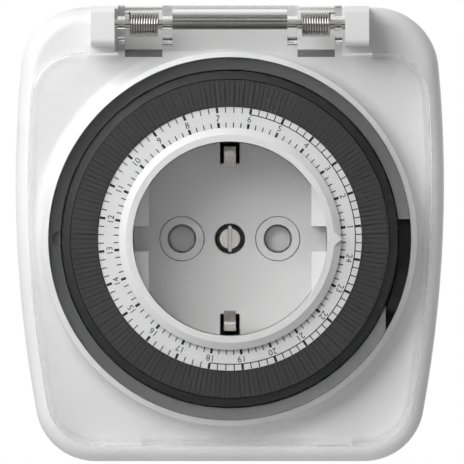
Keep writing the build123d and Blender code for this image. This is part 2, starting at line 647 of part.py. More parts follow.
# ================================================================ housing screws
head_top = BACK_HEIGHT + HEAD_DEPTH
with BuildPart() as housing_screws:
    with BuildSketch(front(head_top - HOUSING_SCREW_HEAD_THICKNESS)):
        with Locations(*screw_places):
            Circle(HOUSING_SCREW_HEAD)
    extrude(amount=HOUSING_SCREW_HEAD_THICKNESS)
    with BuildSketch(front(head_top)):
        with Locations(*screw_places):
            Circle(SCREW_SHANK)
    extrude(amount=HOUSING_SCREW_LENGTH)
    with BuildSketch(front(head_top - HOUSING_SCREW_HEAD_THICKNESS)):
        with Locations(*screw_places):
            Rectangle(CROSS_LENGTH, CROSS_WIDTH)
            Rectangle(CROSS_WIDTH, CROSS_LENGTH)
    extrude(amount=CROSS_DEPTH, mode=Mode.SUBTRACT)
save(housing_screws.part, "housing_screws")

# ================================================================ plug pins and earth strips
for name, x in (("plug_pin_live", PIN_X), ("plug_pin_neutral", -PIN_X)):
    with BuildPart() as plug_pin:
        with BuildSketch(front(-PIN_LENGTH)):
            with Locations((x, 0)):
                Circle(PIN_RADIUS)
        extrude(amount=PIN_LENGTH + PIN_SEAT)
        fillet(plug_pin.faces().sort_by(Axis.Y)[-1].edges(), PIN_TIP)
        with BuildSketch(front(PIN_SEAT)):
            with Locations((x, 0)):
                Circle(PIN_ROOT_RADIUS)
        extrude(amount=REAR_FLOOR + PIN_WASHER - PIN_SEAT)
        with BuildSketch(front(REAR_FLOOR + PIN_WASHER)):
            with Locations((x, 0)):
                Circle(PIN_HEAD_RADIUS)
        extrude(amount=PIN_HEAD)
    save(plug_pin.part, name)

strip_z = BOSS_RADIUS - 1.5 * SIDE_STRIP_METAL
with BuildPart() as plug_earth_strips:
    with BuildSketch(front(SIDE_STRIP_START)):
        with Locations((0, -strip_z), (0, strip_z)):
            Rectangle(SIDE_STRIP_WIDTH, SIDE_STRIP_METAL)
    extrude(amount=BACK_HEIGHT - SIDE_STRIP_END - SIDE_STRIP_START)
save(plug_earth_strips.part, "plug_earth_strips")

# ================================================================ socket well
slot_middle = WELL_RADIUS - EARTH_SLOT_DEPTH / 2
flange_bottom = DECK_BOTTOM - FLANGE_THICKNESS
well_screw_ring = (WELL_OUTER + WELL_FLANGE) / 2
with BuildPart() as socket_well:
    with BuildSketch(front(WELL_BOTTOM)):
        ring(WELL_OUTER, WELL_RADIUS)
    extrude(amount=WELL_TOP - WELL_BOTTOM)
    # rebate for the bezel's skirt
    with BuildSketch(front(BEZEL_SEAT)):
        Circle(WELL_RADIUS + BEZEL_SKIRT + SURROUND_FIT)
    extrude(amount=WELL_TOP - BEZEL_SEAT, mode=Mode.SUBTRACT)
    # ledge under the floor and guide flats above it
    with BuildSketch(front(WELL_BOTTOM)):
        ring(WELL_RADIUS + PAST, WELL_RADIUS - FLOOR_LEDGE_WIDTH)
    extrude(amount=FLOOR_LEDGE)
    with BuildSketch(front(WELL_FLOOR)):
        Circle(WELL_RADIUS + PAST)
        Rectangle(2 * (WELL_RADIUS - GUIDE_DEPTH), 3 * WELL_RADIUS, mode=Mode.SUBTRACT)
        Rectangle(3 * WELL_RADIUS, GUIDE_SLOT, mode=Mode.SUBTRACT)
    extrude(amount=GUIDE_HEIGHT)
    # openings of the ledge for the earth clips
    with BuildSketch(front(WELL_BOTTOM)):
        with Locations((0, -slot_middle), (0, slot_middle)):
            Rectangle(EARTH_SLOT, EARTH_SLOT_DEPTH)
    extrude(amount=WELL_FLOOR - WELL_BOTTOM, mode=Mode.SUBTRACT)
    # flange that sits under the deck
    with BuildSketch(front(flange_bottom)):
        ring(WELL_FLANGE, WELL_OUTER - WELL_WALL / 2)
        with Locations((IDLER_X, IDLER_Z)):
            Circle(SLEEVE_RADIUS + 1.5 * SLEEVE_GAP, mode=Mode.SUBTRACT)
        with PolarLocations(well_screw_ring, WELL_SCREWS, 90):
            Circle(SMALL_SCREW + SCREW_FIT, mode=Mode.SUBTRACT)
    extrude(amount=FLANGE_THICKNESS)
save(socket_well.part, "socket_well")

with BuildPart() as socket_floor:
    with BuildSketch(front(FLOOR_BOTTOM)):
        Circle(WELL_RADIUS - SEAL_FIT)
        with Locations((-PIN_X, 0), (PIN_X, 0)):
            Circle(HOLE_RADIUS, mode=Mode.SUBTRACT)
        with Locations((0, -slot_middle), (0, slot_middle)):
            Rectangle(EARTH_SLOT, EARTH_SLOT_DEPTH, mode=Mode.SUBTRACT)
    extrude(amount=FLOOR_THICKNESS)
    with BuildSketch(front(POST_BOTTOM)):
        Circle(POST_RADIUS)
    extrude(amount=POST_LENGTH)
    with BuildSketch(front(SCREW_SEAT)):
        Circle(RECESS_RADIUS)
    extrude(amount=RECESS_DEPTH, mode=Mode.SUBTRACT)
    with BuildSketch(front(POST_BOTTOM)):
        Circle(SCREW_SHANK + SCREW_FIT)
    extrude(amount=WELL_FLOOR - POST_BOTTOM, mode=Mode.SUBTRACT)
    # fine rings around the pin holes
    with BuildSketch(front(WELL_FLOOR - HOLE_RING_DEPTH)):
        with Locations((-PIN_X, 0), (PIN_X, 0)):
            ring(HOLE_RING, HOLE_RING - HOLE_RING_WIDTH)
    extrude(amount=HOLE_RING_DEPTH, mode=Mode.SUBTRACT)
save(socket_floor.part, "socket_floor")

# ================================================================ bezel with the time pointer
with BuildPart() as bezel:
    with BuildSketch(TURNED):
        with BuildLine():
            skirt = WELL_RADIUS + BEZEL_SKIRT
            Polyline((WELL_RADIUS, BEZEL_SEAT), (WELL_RADIUS, BEZEL_TOP), (BEZEL_FLANGE, BEZEL_TOP),
                     (BEZEL_OUTER, WELL_TOP + BEZEL_EDGE), (BEZEL_OUTER, WELL_TOP),
                     (skirt, WELL_TOP), (skirt, BEZEL_SEAT), close=True)
        make_face()
    revolve(axis=Axis.Y)
    with BuildSketch(front(WELL_TOP)):
        with BuildLine():
            root = BEZEL_FLANGE - POINTER_ROOT
            tip = BEZEL_OUTER + POINTER_REACH
            Polyline((root, -POINTER_HALF), (tip, 0), (root, POINTER_HALF), close=True)
        make_face()
    extrude(amount=BEZEL_RISE)
save(bezel.part, "bezel")

# ================================================================ centre screw, earth clip and shutter
with BuildPart() as centre_screw:
    with BuildSketch(TURNED):
        with BuildLine():
            head = SCREW_SEAT + SCREW_HEAD_THICKNESS
            end = EARTH_STRAP_HEIGHT - SCREW_END
            Polyline((0, end), (0, head), (SCREW_HEAD, head), (SCREW_RIM, SCREW_SEAT + SCREW_RIM_THICKNESS),
                     (SCREW_RIM, SCREW_SEAT), (SCREW_SHANK, SCREW_SEAT), (SCREW_SHANK, end), close=True)
        make_face()
    revolve(axis=Axis.Y)
    with BuildSketch(front(head - SLOT_DEPTH)):
        Rectangle(SLOT_WIDTH, 3 * SCREW_RIM)
    extrude(amount=SLOT_DEPTH, mode=Mode.SUBTRACT)
save(centre_screw.part, "centre_screw")

with BuildPart() as earth_clip:
    # a bar under the floor whose ends rise along the wall, bow inwards to the nip and curl at the tip
    with BuildSketch(along_x(0)):
        with BuildLine() as clip_line:
            upright = WELL_RADIUS - EARTH_RISE
            strap_middle = EARTH_STRAP_HEIGHT + EARTH_METAL / 2
            FilletPolyline((WELL_FLOOR + EARTH_TIP - EARTH_LIP, upright + EARTH_METAL / 2),
                           (WELL_FLOOR + EARTH_TIP, upright - EARTH_METAL),
                           (WELL_FLOOR + EARTH_NIP, WELL_RADIUS - EARTH_REACH + EARTH_METAL / 2),
                           (WELL_FLOOR + EARTH_BEND, upright), (strap_middle, upright), (strap_middle, 0),
                           radius=[EARTH_METAL, 2 * EARTH_METAL, 2 * EARTH_METAL, 2 * EARTH_METAL])
            offset(amount=EARTH_METAL / 2, side=Side.BOTH, closed=True)
        make_face()
    extrude(amount=EARTH_WIDTH / 2, both=True)
    mirror(about=Plane.XY)
    with BuildSketch(front(EARTH_STRAP_HEIGHT)):
        Circle(EARTH_EYE)
    extrude(amount=EARTH_METAL)
    with BuildSketch(front(EARTH_STRAP_HEIGHT)):
        Circle(SCREW_SHANK + SCREW_FIT)
    extrude(amount=EARTH_METAL, mode=Mode.SUBTRACT)
save(earth_clip.part, "earth_clip")

with BuildPart() as shutter:
    with BuildSketch(front(SHUTTER_TOP - SHUTTER_THICKNESS)):
        Circle(SHUTTER_HUB)
        Rectangle(PIN_SPACING, SHUTTER_ARM)
        with Locations((-PIN_X, 0), (PIN_X, 0)):
            Circle(SHUTTER_PAD)
        Circle(POST_RADIUS + SHUTTER_FIT, mode=Mode.SUBTRACT)
    extrude(amount=SHUTTER_THICKNESS)
    with BuildSketch(front(SHUTTER_TOP - PAD_GROOVE_DEPTH)):
        with Locations((-PIN_X, 0), (PIN_X, 0)):
            ring(HOLE_RADIUS + PAD_GROOVE_OVER, HOLE_RADIUS - PAD_GROOVE)
    extrude(amount=PAD_GROOVE_DEPTH, mode=Mode.SUBTRACT)
save(shutter.part, "shutter")


def coil(name, start, direction, length, radius, wire, turns):
    """A close-wound spring of wire, from its start point along a direction."""
    pitch = (length - 2 * wire) / turns
    begin = Vector(*start) + Vector(*direction) * wire
    with BuildPart() as spring:
        with BuildLine() as path:
            Helix(pitch, pitch * turns, radius, center=begin, direction=direction)
        with BuildSketch(Plane(origin=path.edges()[0] @ 0, z_dir=path.edges()[0] % 0)):
            RegularPolygon(wire, 4)
        sweep(path=path.edges()[0], is_frenet=True)
    save(spring.part, name)


# ================================================================ live and neutral contacts
leaf_offset = (LEAF_GRIP + LEAF_THICKNESS) / 2
leaf_base = REAR_FLOOR + PIN_WASHER + PIN_HEAD
for name, x, lift in (("live_contact", PIN_X, LIVE_LIFT), ("neutral_contact", -PIN_X, 0.0)):
    with BuildPart() as contact:
        with BuildSketch(front(leaf_base + lift)):
            with Locations((x, 0)):
                Rectangle(LEAF_GRIP + 2 * LEAF_THICKNESS, LEAF_WIDTH)
        extrude(amount=LEAF_THICKNESS)
        with BuildSketch(front(leaf_base + lift)):
            with Locations((x - leaf_offset, 0), (x + leaf_offset, 0)):
                Rectangle(LEAF_THICKNESS, LEAF_WIDTH)
        extrude(amount=LEAF_LENGTH - lift)
    save(contact.part, name)

# ================================================================ dial
with BuildPart() as dial_carrier:
    hub_outer = DIAL_PITCH - 1.25 * MODULE - HUB_WALL
    web_bottom = DIAL_WEB_TOP - DIAL_WEB
    scale_seat = DIAL_TOP - SCALE_THICKNESS
    groove_inner = TAPPET_INNER - 1.5 * TAPPET_END_GAP
    with BuildSketch(TURNED):
        with BuildLine():
            Polyline((DIAL_BORE, GEAR_BOTTOM), (hub_outer, GEAR_BOTTOM), (hub_outer, web_bottom),
                     (DIAL_RADIUS, web_bottom), (DIAL_RADIUS, DIAL_TOP - RIM_FALL), (RIM_INNER, DIAL_TOP),
                     (RIM_INNER, DIAL_WEB_TOP), (groove_inner, DIAL_WEB_TOP), (groove_inner, scale_seat),
                     (DIAL_BORE, scale_seat), close=True)
        make_face()
    revolve(axis=Axis.Y)
    with BuildSketch(front(GEAR_BOTTOM)):
        gear_outline(DIAL_TEETH)
        Circle(hub_outer - PAST, mode=Mode.SUBTRACT)
    extrude(amount=GEAR_WIDTH)
    with BuildSketch(front(web_bottom)):
        with PolarLocations(TAPPET_MIDDLE, TAPPETS, DIAL_PHASE + STEP_ANGLE / 2):
            Rectangle(STEM_LENGTH + 2 * STEM_GAP, STEM_WIDTH + 2 * STEM_GAP)
    extrude(amount=DIAL_WEB, mode=Mode.SUBTRACT)
save(dial_carrier.part, "dial_carrier")

with BuildPart() as dial_scale:
    with BuildSketch(front(scale_seat)):
        ring(SCALE_OUTER, SCALE_INNER)
    extrude(amount=SCALE_THICKNESS)
save(dial_scale.part, "dial_scale")

inner_half = TAPPET_INNER * tan(radians(STEP_ANGLE / 2)) - TAPPET_GAP / 2
outer_half = TAPPET_OUTER * tan(radians(STEP_ANGLE / 2)) - TAPPET_GAP / 2
half_length = (TAPPET_OUTER - TAPPET_INNER) / 2
free_steps = [STEPS_PER_HOUR + step for step in range(STEPS_PER_HOUR)]


def tappet_heads():
    """The wedge-shaped head of one tappet at each current location."""
    Polygon((-half_length, -inner_half), (half_length, -outer_half),
            (half_length, outer_half), (-half_length, inner_half), align=None)


def tappet_place(step):
    """Centre of a tappet, counted in quarter hours from the 24 o'clock mark."""
    angle = DIAL_PHASE + STEP_ANGLE * (step + 0.5)
    return Location((*point_at(TAPPET_MIDDLE, angle), 0), angle)


def make_tappets(places):
    """Tappets with a wedge head on a flat stem, as one part."""
    with BuildPart() as made:
        with BuildSketch(front(STEM_BOTTOM)):
            with Locations(*places):
                Rectangle(STEM_LENGTH, STEM_WIDTH)
        extrude(amount=TAPPET_TOP - TAPPET_HEAD - STEM_BOTTOM)
        with BuildSketch(front(TAPPET_TOP - TAPPET_HEAD)):
            with Locations(*places):
                tappet_heads()
        extrude(amount=TAPPET_HEAD)
    return made.part


save(make_tappets([tappet_place(step) for step in range(TAPPETS) if step not in free_steps]), "tappets")
for step in free_steps:
    minutes = 60 // STEPS_PER_HOUR * (step % STEPS_PER_HOUR)
    save(make_tappets([tappet_place(step)]), f"tappet_{step // STEPS_PER_HOUR:02d}{minutes:02d}")

# ================================================================ surround ring, override track and slider
override_left = SURROUND_INNER - OVERRIDE_OVERLAP
override_width = COLLAR_OUTER - override_left
override_height = OVERRIDE_TOP - OVERRIDE_BOTTOM
override_middle = (override_left + override_width / 2, (OVERRIDE_TOP + OVERRIDE_BOTTOM) / 2)
with BuildPart() as dial_surround:
    with BuildSketch(TURNED):
        with BuildLine():
            Polyline((SURROUND_INNER, LEDGE_TOP), (SURROUND_OUTER, LEDGE_TOP), (SURROUND_OUTER, SURROUND_TOP),
                     (SURROUND_INNER, SURROUND_TOP - SURROUND_FALL), close=True)
        make_face()
    revolve(axis=Axis.Y)
    with BuildSketch(front(LEDGE_TOP)):
        with Locations(override_middle):
            Rectangle(override_width, override_height)
    extrude(amount=SURROUND_DEPTH, mode=Mode.SUBTRACT)
    # dimple opposite the override
    with BuildSketch(front(SURROUND_TOP - DIMPLE_DEPTH)):
        with Locations((-SURROUND_INNER, 0)):
            Circle(DIMPLE_RADIUS)
    extrude(amount=DIMPLE_DEPTH, mode=Mode.SUBTRACT)
save(dial_surround.part, "dial_surround")

with BuildPart() as override_track:
    with BuildSketch(front(LEDGE_TOP)):
        ring(SURROUND_OUTER, SURROUND_INNER)
        with Locations(override_middle):
            Rectangle(override_width - 2 * SURROUND_FIT, override_height - 2 * SURROUND_FIT,
                      mode=Mode.INTERSECT)
    extrude(amount=OVERRIDE_BASE)
save(override_track.part, "override_track")

slider_bottom = LEDGE_TOP + OVERRIDE_BASE + SLIDER_LIFT
slider_top = SURROUND_TOP - SURROUND_FALL
slider_span = SLIDER_END - SLIDER_START
with BuildPart() as override_slider:
    with BuildSketch(front(slider_bottom)):
        arc_band(SURROUND_INNER + 2 * SLIDER_GAP, SURROUND_OUTER - SLIDER_GAP, SLIDER_START, SLIDER_END)
    extrude(amount=slider_top - slider_bottom)
    # grip grooves across the slider
    with BuildSketch(front(slider_top - RIB_DEPTH)):
        for rib in range(SLIDER_RIBS):
            angle = SLIDER_START + slider_span * (rib + 0.5) / SLIDER_RIBS
            arc_band(SURROUND_INNER, SURROUND_OUTER, angle - RIB_TURN / 2, angle + RIB_TURN / 2)
    extrude(amount=RIB_DEPTH, mode=Mode.SUBTRACT)
save(override_slider.part, "override_slider")

# ================================================================ gear train and motor
idler_phase = 180 + IDLER_ANGLE + 180 / IDLER_PINION_TEETH
pinion_phase = 180 + MOTOR_PINION_ANGLE + 180 / MOTOR_PINION_TEETH
with BuildPart() as idler_gear:
    with BuildSketch(front(WHEEL_BOTTOM)):
        gear_outline(IDLER_WHEEL_TEETH, IDLER_X, IDLER_Z, MOTOR_PINION_ANGLE)
    extrude(amount=GEAR_WIDTH)
    with BuildSketch(front(WHEEL_TOP)):
        with Locations((IDLER_X, IDLER_Z)):
            Circle(SLEEVE_RADIUS)
    extrude(amount=GEAR_BOTTOM - WHEEL_TOP)
    with BuildSketch(front(GEAR_BOTTOM)):
        gear_outline(IDLER_PINION_TEETH, IDLER_X, IDLER_Z, idler_phase)
    extrude(amount=GEAR_WIDTH)
    with BuildSketch(front(WHEEL_BOTTOM)):
        with Locations((IDLER_X, IDLER_Z)):
            Circle(AXLE_RADIUS + AXLE_FIT)
    extrude(amount=GEAR_TOP - WHEEL_BOTTOM, mode=Mode.SUBTRACT)
save(idler_gear.part, "idler_gear")

with BuildPart() as motor_pinion:
    with BuildSketch(front(WHEEL_BOTTOM)):
        gear_outline(MOTOR_PINION_TEETH, PINION_X, PINION_Z, pinion_phase)
        with Locations((PINION_X, PINION_Z)):
            Circle(AXLE_RADIUS + AXLE_FIT, mode=Mode.SUBTRACT)
    extrude(amount=GEAR_WIDTH + PINION_EXTRA)
save(motor_pinion.part, "motor_pinion")

plate_left = WALL + PLATE_SIDE_GAP - HALF_WIDTH
plate_right = MOTOR_X + MOTOR_RADIUS
plate_top = IDLER_Z + PLATE_MARGIN
plate_bottom = MOTOR_Z - MOTOR_RADIUS - PLATE_EDGE
plate_shoulder = PINION_Z + 2 * PLATE_MARGIN
plate_posts = [(plate_right - PILLAR_INSET, plate_bottom + PILLAR_INSET),
               (plate_right - PILLAR_INSET, plate_shoulder - PILLAR_INSET),
               (plate_left + PILLAR_INSET, PINION_Z + PILLAR_RADIUS)]
with BuildPart() as gear_plate:
    with BuildSketch(front(PLATE_HEIGHT)):
        with BuildLine():
            Polyline((plate_left, plate_top), (IDLER_X + PLATE_MARGIN, plate_top),
                     (plate_right, plate_shoulder), (plate_right, plate_bottom),
                     (plate_left + PLATE_CUT, plate_bottom),
                     (plate_left, plate_bottom + PLATE_CUT), close=True)
        make_face()
        fillet(vertices(), PLATE_ROUND)
        with Locations((IDLER_X, IDLER_Z)):
            Circle(AXLE_RADIUS, mode=Mode.SUBTRACT)
        with Locations((PINION_X, PINION_Z)):
            Circle(AXLE_RADIUS + 3 * AXLE_FIT, mode=Mode.SUBTRACT)
        with Locations(*plate_posts):
            Circle(SMALL_SCREW + SCREW_FIT, mode=Mode.SUBTRACT)
    extrude(amount=PLATE_THICKNESS)
save(gear_plate.part, "gear_plate")

with BuildPart() as plate_pillars:
    with BuildSketch(front(REAR_FLOOR)):
        with Locations(*plate_posts):
            Circle(PILLAR_RADIUS)
    extrude(amount=PLATE_HEIGHT - REAR_FLOOR)
    with BuildSketch(front(PLATE_HEIGHT - SMALL_HOLE_DEPTH)):
        with Locations(*plate_posts):
            Circle(SMALL_SCREW + SCREW_FIT)
    extrude(amount=SMALL_HOLE_DEPTH, mode=Mode.SUBTRACT)
save(plate_pillars.part, "plate_pillars")

with BuildPart() as plate_screws:
    with BuildSketch(front(PLATE_HEIGHT - SMALL_SCREW_LENGTH)):
        with Locations(*plate_posts):
            Circle(SMALL_SCREW)
    extrude(amount=SMALL_SCREW_LENGTH + PLATE_THICKNESS)
    with BuildSketch(front(PLATE_TOP)):
        with Locations(*plate_posts):
            Circle(SMALL_SCREW_HEAD)
    extrude(amount=SMALL_HEAD_THICKNESS)
save(plate_screws.part, "plate_screws")

with BuildPart() as well_screws:
    with BuildSketch(front(flange_bottom)):
        with PolarLocations(well_screw_ring, WELL_SCREWS, 90):
            Circle(SMALL_SCREW)
    extrude(amount=FLANGE_THICKNESS)
    with BuildSketch(front(flange_bottom)):
        with PolarLocations(well_screw_ring, WELL_SCREWS, 90):
            Circle(SMALL_SCREW_HEAD)
    extrude(amount=-SMALL_HEAD_THICKNESS)
save(well_screws.part, "well_screws")

with BuildPart() as idler_axle:
    with BuildSketch(front(PLATE_HEIGHT)):
        with Locations((IDLER_X, IDLER_Z)):
            Circle(AXLE_RADIUS)
    extrude(amount=GEAR_TOP + AXLE_END - PLATE_HEIGHT)
save(idler_axle.part, "idler_axle")

with BuildPart() as motor_can:
    with BuildSketch(front(PLATE_HEIGHT - MOTOR_THICKNESS)):
        with Locations((MOTOR_X, MOTOR_Z)):
            Circle(MOTOR_RADIUS)
    extrude(amount=MOTOR_THICKNESS)
    chamfer(motor_can.faces().sort_by(Axis.Y)[-1].edges(), MOTOR_EDGE)
save(motor_can.part, "motor_can")

with BuildPart() as motor_shaft:
    with BuildSketch(front(PLATE_HEIGHT)):
        with Locations((PINION_X, PINION_Z)):
            Circle(AXLE_RADIUS)
    extrude(amount=WHEEL_TOP + PINION_EXTRA + AXLE_END - PLATE_HEIGHT)
save(motor_shaft.part, "motor_shaft")

# ================================================================ switch, plunger and trip lever
switch_top = DECK_BOTTOM - SWITCH_GAP
switch_bottom = switch_top - SWITCH_DEPTH
plunger_bottom = switch_top - PLUNGER_SEAT
with BuildPart() as switch_case:
    with BuildSketch(front(switch_bottom)):
        with Locations((TRIP_RADIUS, SWITCH_CENTRE)):
            RectangleRounded(SWITCH_WIDTH, SWITCH_LENGTH, SWITCH_ROUND)
    extrude(amount=SWITCH_DEPTH)
    with BuildSketch(front(plunger_bottom - PLUNGER_ROOM)):
        with Locations((TRIP_RADIUS, PLUNGER_PLACE)):
            Circle(PLUNGER_RADIUS + PLUNGER_FIT)
    extrude(amount=PLUNGER_SEAT + PLUNGER_ROOM, mode=Mode.SUBTRACT)
save(switch_case.part, "switch_case")

terminal_step = SWITCH_LENGTH / 2 - TERMINAL_INSET
with BuildPart() as switch_terminals:
    with BuildSketch(front(switch_bottom)):
        with Locations((TRIP_RADIUS, SWITCH_CENTRE)):
            with GridLocations(1, terminal_step, 1, 3):
                Rectangle(TERMINAL_WIDTH, TERMINAL_METAL)
    extrude(amount=-TERMINAL_LENGTH)
save(switch_terminals.part, "switch_terminals")

# bars from the live pin to the switch and from the switch to the live contact
terminal_bottom = switch_bottom - TERMINAL_LENGTH
feed_end = SWITCH_CENTRE + terminal_step
load_end = SWITCH_CENTRE - terminal_step
bar_length = TRIP_RADIUS - PIN_X + BAR_WIDTH
bar_middle = (PIN_X + TRIP_RADIUS) / 2
with BuildPart() as live_feed_bar:
    with BuildSketch(front(leaf_base)):
        with Locations((bar_middle, 0)):
            Rectangle(bar_length, BAR_WIDTH)
        fillet(vertices(), BAR_METAL)
    extrude(amount=BAR_METAL)
    with BuildSketch(front(leaf_base + BAR_METAL)):
        with Locations((TRIP_RADIUS, feed_end)):
            Rectangle(TERMINAL_WIDTH, BAR_METAL)
    extrude(amount=terminal_bottom - leaf_base - BAR_METAL)
save(live_feed_bar.part, "live_feed_bar")

load_base = leaf_base + LIVE_LIFT
load_low = load_end - BAR_WIDTH / 2
with BuildPart() as switched_bar:
    with BuildSketch(front(load_base)):
        with Locations((PIN_X, (load_low - LEAF_WIDTH / 2) / 2)):
            Rectangle(BAR_WIDTH, -LEAF_WIDTH / 2 - load_low)
        with Locations((bar_middle, load_end)):
            Rectangle(bar_length, BAR_WIDTH)
    extrude(amount=BAR_METAL)
    with BuildSketch(front(load_base + BAR_METAL)):
        with Locations((TRIP_RADIUS, load_end)):
            Rectangle(TERMINAL_WIDTH, BAR_METAL)
    extrude(amount=terminal_bottom - load_base - BAR_METAL)
save(switched_bar.part, "switched_bar")

with BuildPart() as switch_plunger:
    with BuildSketch(front(PLUNGER_TOP)):
        with Locations((TRIP_RADIUS, PLUNGER_PLACE)):
            Circle(PLUNGER_RADIUS)
    extrude(amount=plunger_bottom - PLUNGER_TOP)
    chamfer(switch_plunger.faces().sort_by(Axis.Y)[0].edges(), PLUNGER_EDGE)
save(switch_plunger.part, "switch_plunger")

nose_top = STEM_BOTTOM - LEVER_GAP
lever_top_end = NOSE_LENGTH / 2
lever_bottom_end = -LEVER_ARM - LEVER_END
with BuildPart() as trip_lever:
    with BuildSketch(front(LEVER_BOTTOM)):
        with Locations((TRIP_RADIUS, (lever_top_end + lever_bottom_end) / 2)):
            Rectangle(LEVER_WIDTH, lever_top_end - lever_bottom_end)
    extrude(amount=LEVER_THICKNESS)
    with BuildSketch(front(LEVER_TOP)):
        with Locations((TRIP_RADIUS, 0)):
            Rectangle(LEVER_WIDTH, NOSE_LENGTH)
    extrude(amount=nose_top - LEVER_TOP)
    fillet(trip_lever.faces().sort_by(Axis.Y)[0].edges().filter_by(Axis.X), NOSE_ROUND)
    with Locations(across(PIVOT_HEIGHT, -LEVER_ARM, TRIP_RADIUS)):
        Cylinder(PIVOT_RADIUS, pivot_length)
save(trip_lever.part, "trip_lever")

# ================================================================ lid
barrel_back = HINGE_HEIGHT - BARREL_RADIUS
hinge_gap_half = BLOCK_OUTER + BLOCK_GAP
notch_middle = (GRIP_HALF + NOTCH_END) / 2
window_middle = (WINDOW_INNER + WINDOW_OUTER) / 2
window_height = WINDOW_TOP - WINDOW_BOTTOM
bar_height = BAR_LEVEL - WINDOW_BOTTOM
with BuildPart() as lid:
    # plate with its skirt down to just above the housing's face
    with BuildSketch(front(LID_SEAT)):
        lid_outline()
    extrude(amount=LID_FRONT - LID_SEAT)
    fillet(lid.faces().sort_by(Axis.Y)[0].edges(), LID_EDGE)
    with BuildSketch(front(LID_SEAT)):
        lid_outline(LID_SKIRT)
    extrude(amount=LID_UNDERSIDE - LID_SEAT, mode=Mode.SUBTRACT)
    # the top wall is only a short lip over the collar, between the hinge blocks
    with BuildSketch(front(LID_SEAT)):
        with Locations((0, LID_TOP)):
            Rectangle(2 * hinge_gap_half, 4 * LID_SKIRT)
    extrude(amount=LID_UNDERSIDE - LID_LIP - LID_SEAT, mode=Mode.SUBTRACT)
    # notches beside the finger grip
    with BuildSketch(front(LID_SEAT)):
        with Locations((-notch_middle, -LID_BOTTOM), (notch_middle, -LID_BOTTOM)):
            Rectangle(NOTCH_END - GRIP_HALF, 2 * LID_SKIRT)
    extrude(amount=LID_UNDERSIDE - LID_SEAT, mode=Mode.SUBTRACT)
    # tongue and barrel around the hinge pin
    with BuildSketch(along_x(0)):
        with Locations((HINGE_HEIGHT, HINGE_LEVEL)):
            Circle(BARREL_RADIUS)
        with Locations((LID_UNDERSIDE, (LID_TOP - LID_SKIRT + HINGE_LEVEL) / 2)):
            Rectangle(2 * LID_PLATE, HINGE_LEVEL - LID_TOP + LID_SKIRT)
    extrude(amount=TONGUE_HALF, both=True)
    # windows around the springs, and the open middle behind the front bar
    with BuildSketch(front(barrel_back)):
        with Locations((-window_middle, WINDOW_BOTTOM + window_height / 2),
                       (window_middle, WINDOW_BOTTOM + window_height / 2)):
            Rectangle(WINDOW_WIDTH, window_height)
    extrude(amount=2 * BARREL_RADIUS, mode=Mode.SUBTRACT)
    with BuildSketch(front(barrel_back)):
        with Locations((0, WINDOW_BOTTOM + bar_height / 2)):
            Rectangle(2 * MIDDLE_HALF, bar_height)
    extrude(amount=2 * BARREL_RADIUS - LID_PLATE, mode=Mode.SUBTRACT)
    # between the knuckles the barrel is only an arched wall over the pin
    with Locations(across(HINGE_HEIGHT, HINGE_LEVEL)):
        Cylinder(BARREL_RADIUS - LID_PLATE, 2 * MIDDLE_HALF, mode=Mode.SUBTRACT)
        Cylinder(HINGE_PIN_RADIUS + BARREL_PLAY, 2 * TONGUE_HALF + PAST, mode=Mode.SUBTRACT)
save(lid.part, "lid")

with BuildPart() as hinge_pin:
    with Locations(across(HINGE_HEIGHT, HINGE_LEVEL)):
        Cylinder(HINGE_PIN_RADIUS, 2 * HINGE_PIN_HALF)
save(hinge_pin.part, "hinge_pin")

for name, side in (("hinge_spring_right", 1), ("hinge_spring_left", -1)):
    coil(name, (side * (WINDOW_INNER + SPRING_GAP), -HINGE_HEIGHT, HINGE_LEVEL), (side, 0, 0),
         SPRING_LENGTH, SPRING_RADIUS, SPRING_WIRE, SPRING_TURNS)
coil("shutter_spring", (0, -POST_BOTTOM - PAST, 0), (0, -1, 0), SHUTTER_SPRING_LENGTH,
     POST_RADIUS + SHUTTER_SPRING_PLAY, SHUTTER_SPRING_WIRE, SHUTTER_SPRING_TURNS)
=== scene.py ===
"""Looks of the plug in timer switch: finishes, the printed scale, the wound hinge springs, the earth clip's
upper arm, light and camera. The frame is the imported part's, in metres: +X right, +Z up, -Y to the viewer."""

from math import pi, radians

import bpy
from mathutils import Matrix, Vector


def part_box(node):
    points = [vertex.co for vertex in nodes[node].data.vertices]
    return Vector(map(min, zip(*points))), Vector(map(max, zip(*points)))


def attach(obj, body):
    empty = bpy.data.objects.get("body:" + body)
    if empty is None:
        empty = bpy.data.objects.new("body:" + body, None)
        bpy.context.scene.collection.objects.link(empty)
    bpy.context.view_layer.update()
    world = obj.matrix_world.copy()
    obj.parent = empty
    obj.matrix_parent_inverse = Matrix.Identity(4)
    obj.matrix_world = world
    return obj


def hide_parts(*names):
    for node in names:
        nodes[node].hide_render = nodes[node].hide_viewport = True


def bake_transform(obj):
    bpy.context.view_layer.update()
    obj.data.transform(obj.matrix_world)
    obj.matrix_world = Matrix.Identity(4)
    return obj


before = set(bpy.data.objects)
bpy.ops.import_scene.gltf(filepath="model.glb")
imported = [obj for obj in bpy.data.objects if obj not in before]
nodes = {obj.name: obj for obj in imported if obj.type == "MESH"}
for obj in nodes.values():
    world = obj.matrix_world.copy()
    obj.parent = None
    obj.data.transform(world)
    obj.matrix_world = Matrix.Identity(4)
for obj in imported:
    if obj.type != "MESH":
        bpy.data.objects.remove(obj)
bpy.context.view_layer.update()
bpy.ops.object.select_all(action="DESELECT")

MM = 0.001
MERGE = 0.001  # points closer than this many millimetres become one
MIX_BASE, MIX_OVER, MIX_RESULT = 6, 7, 2  # colour sockets of the Mix node

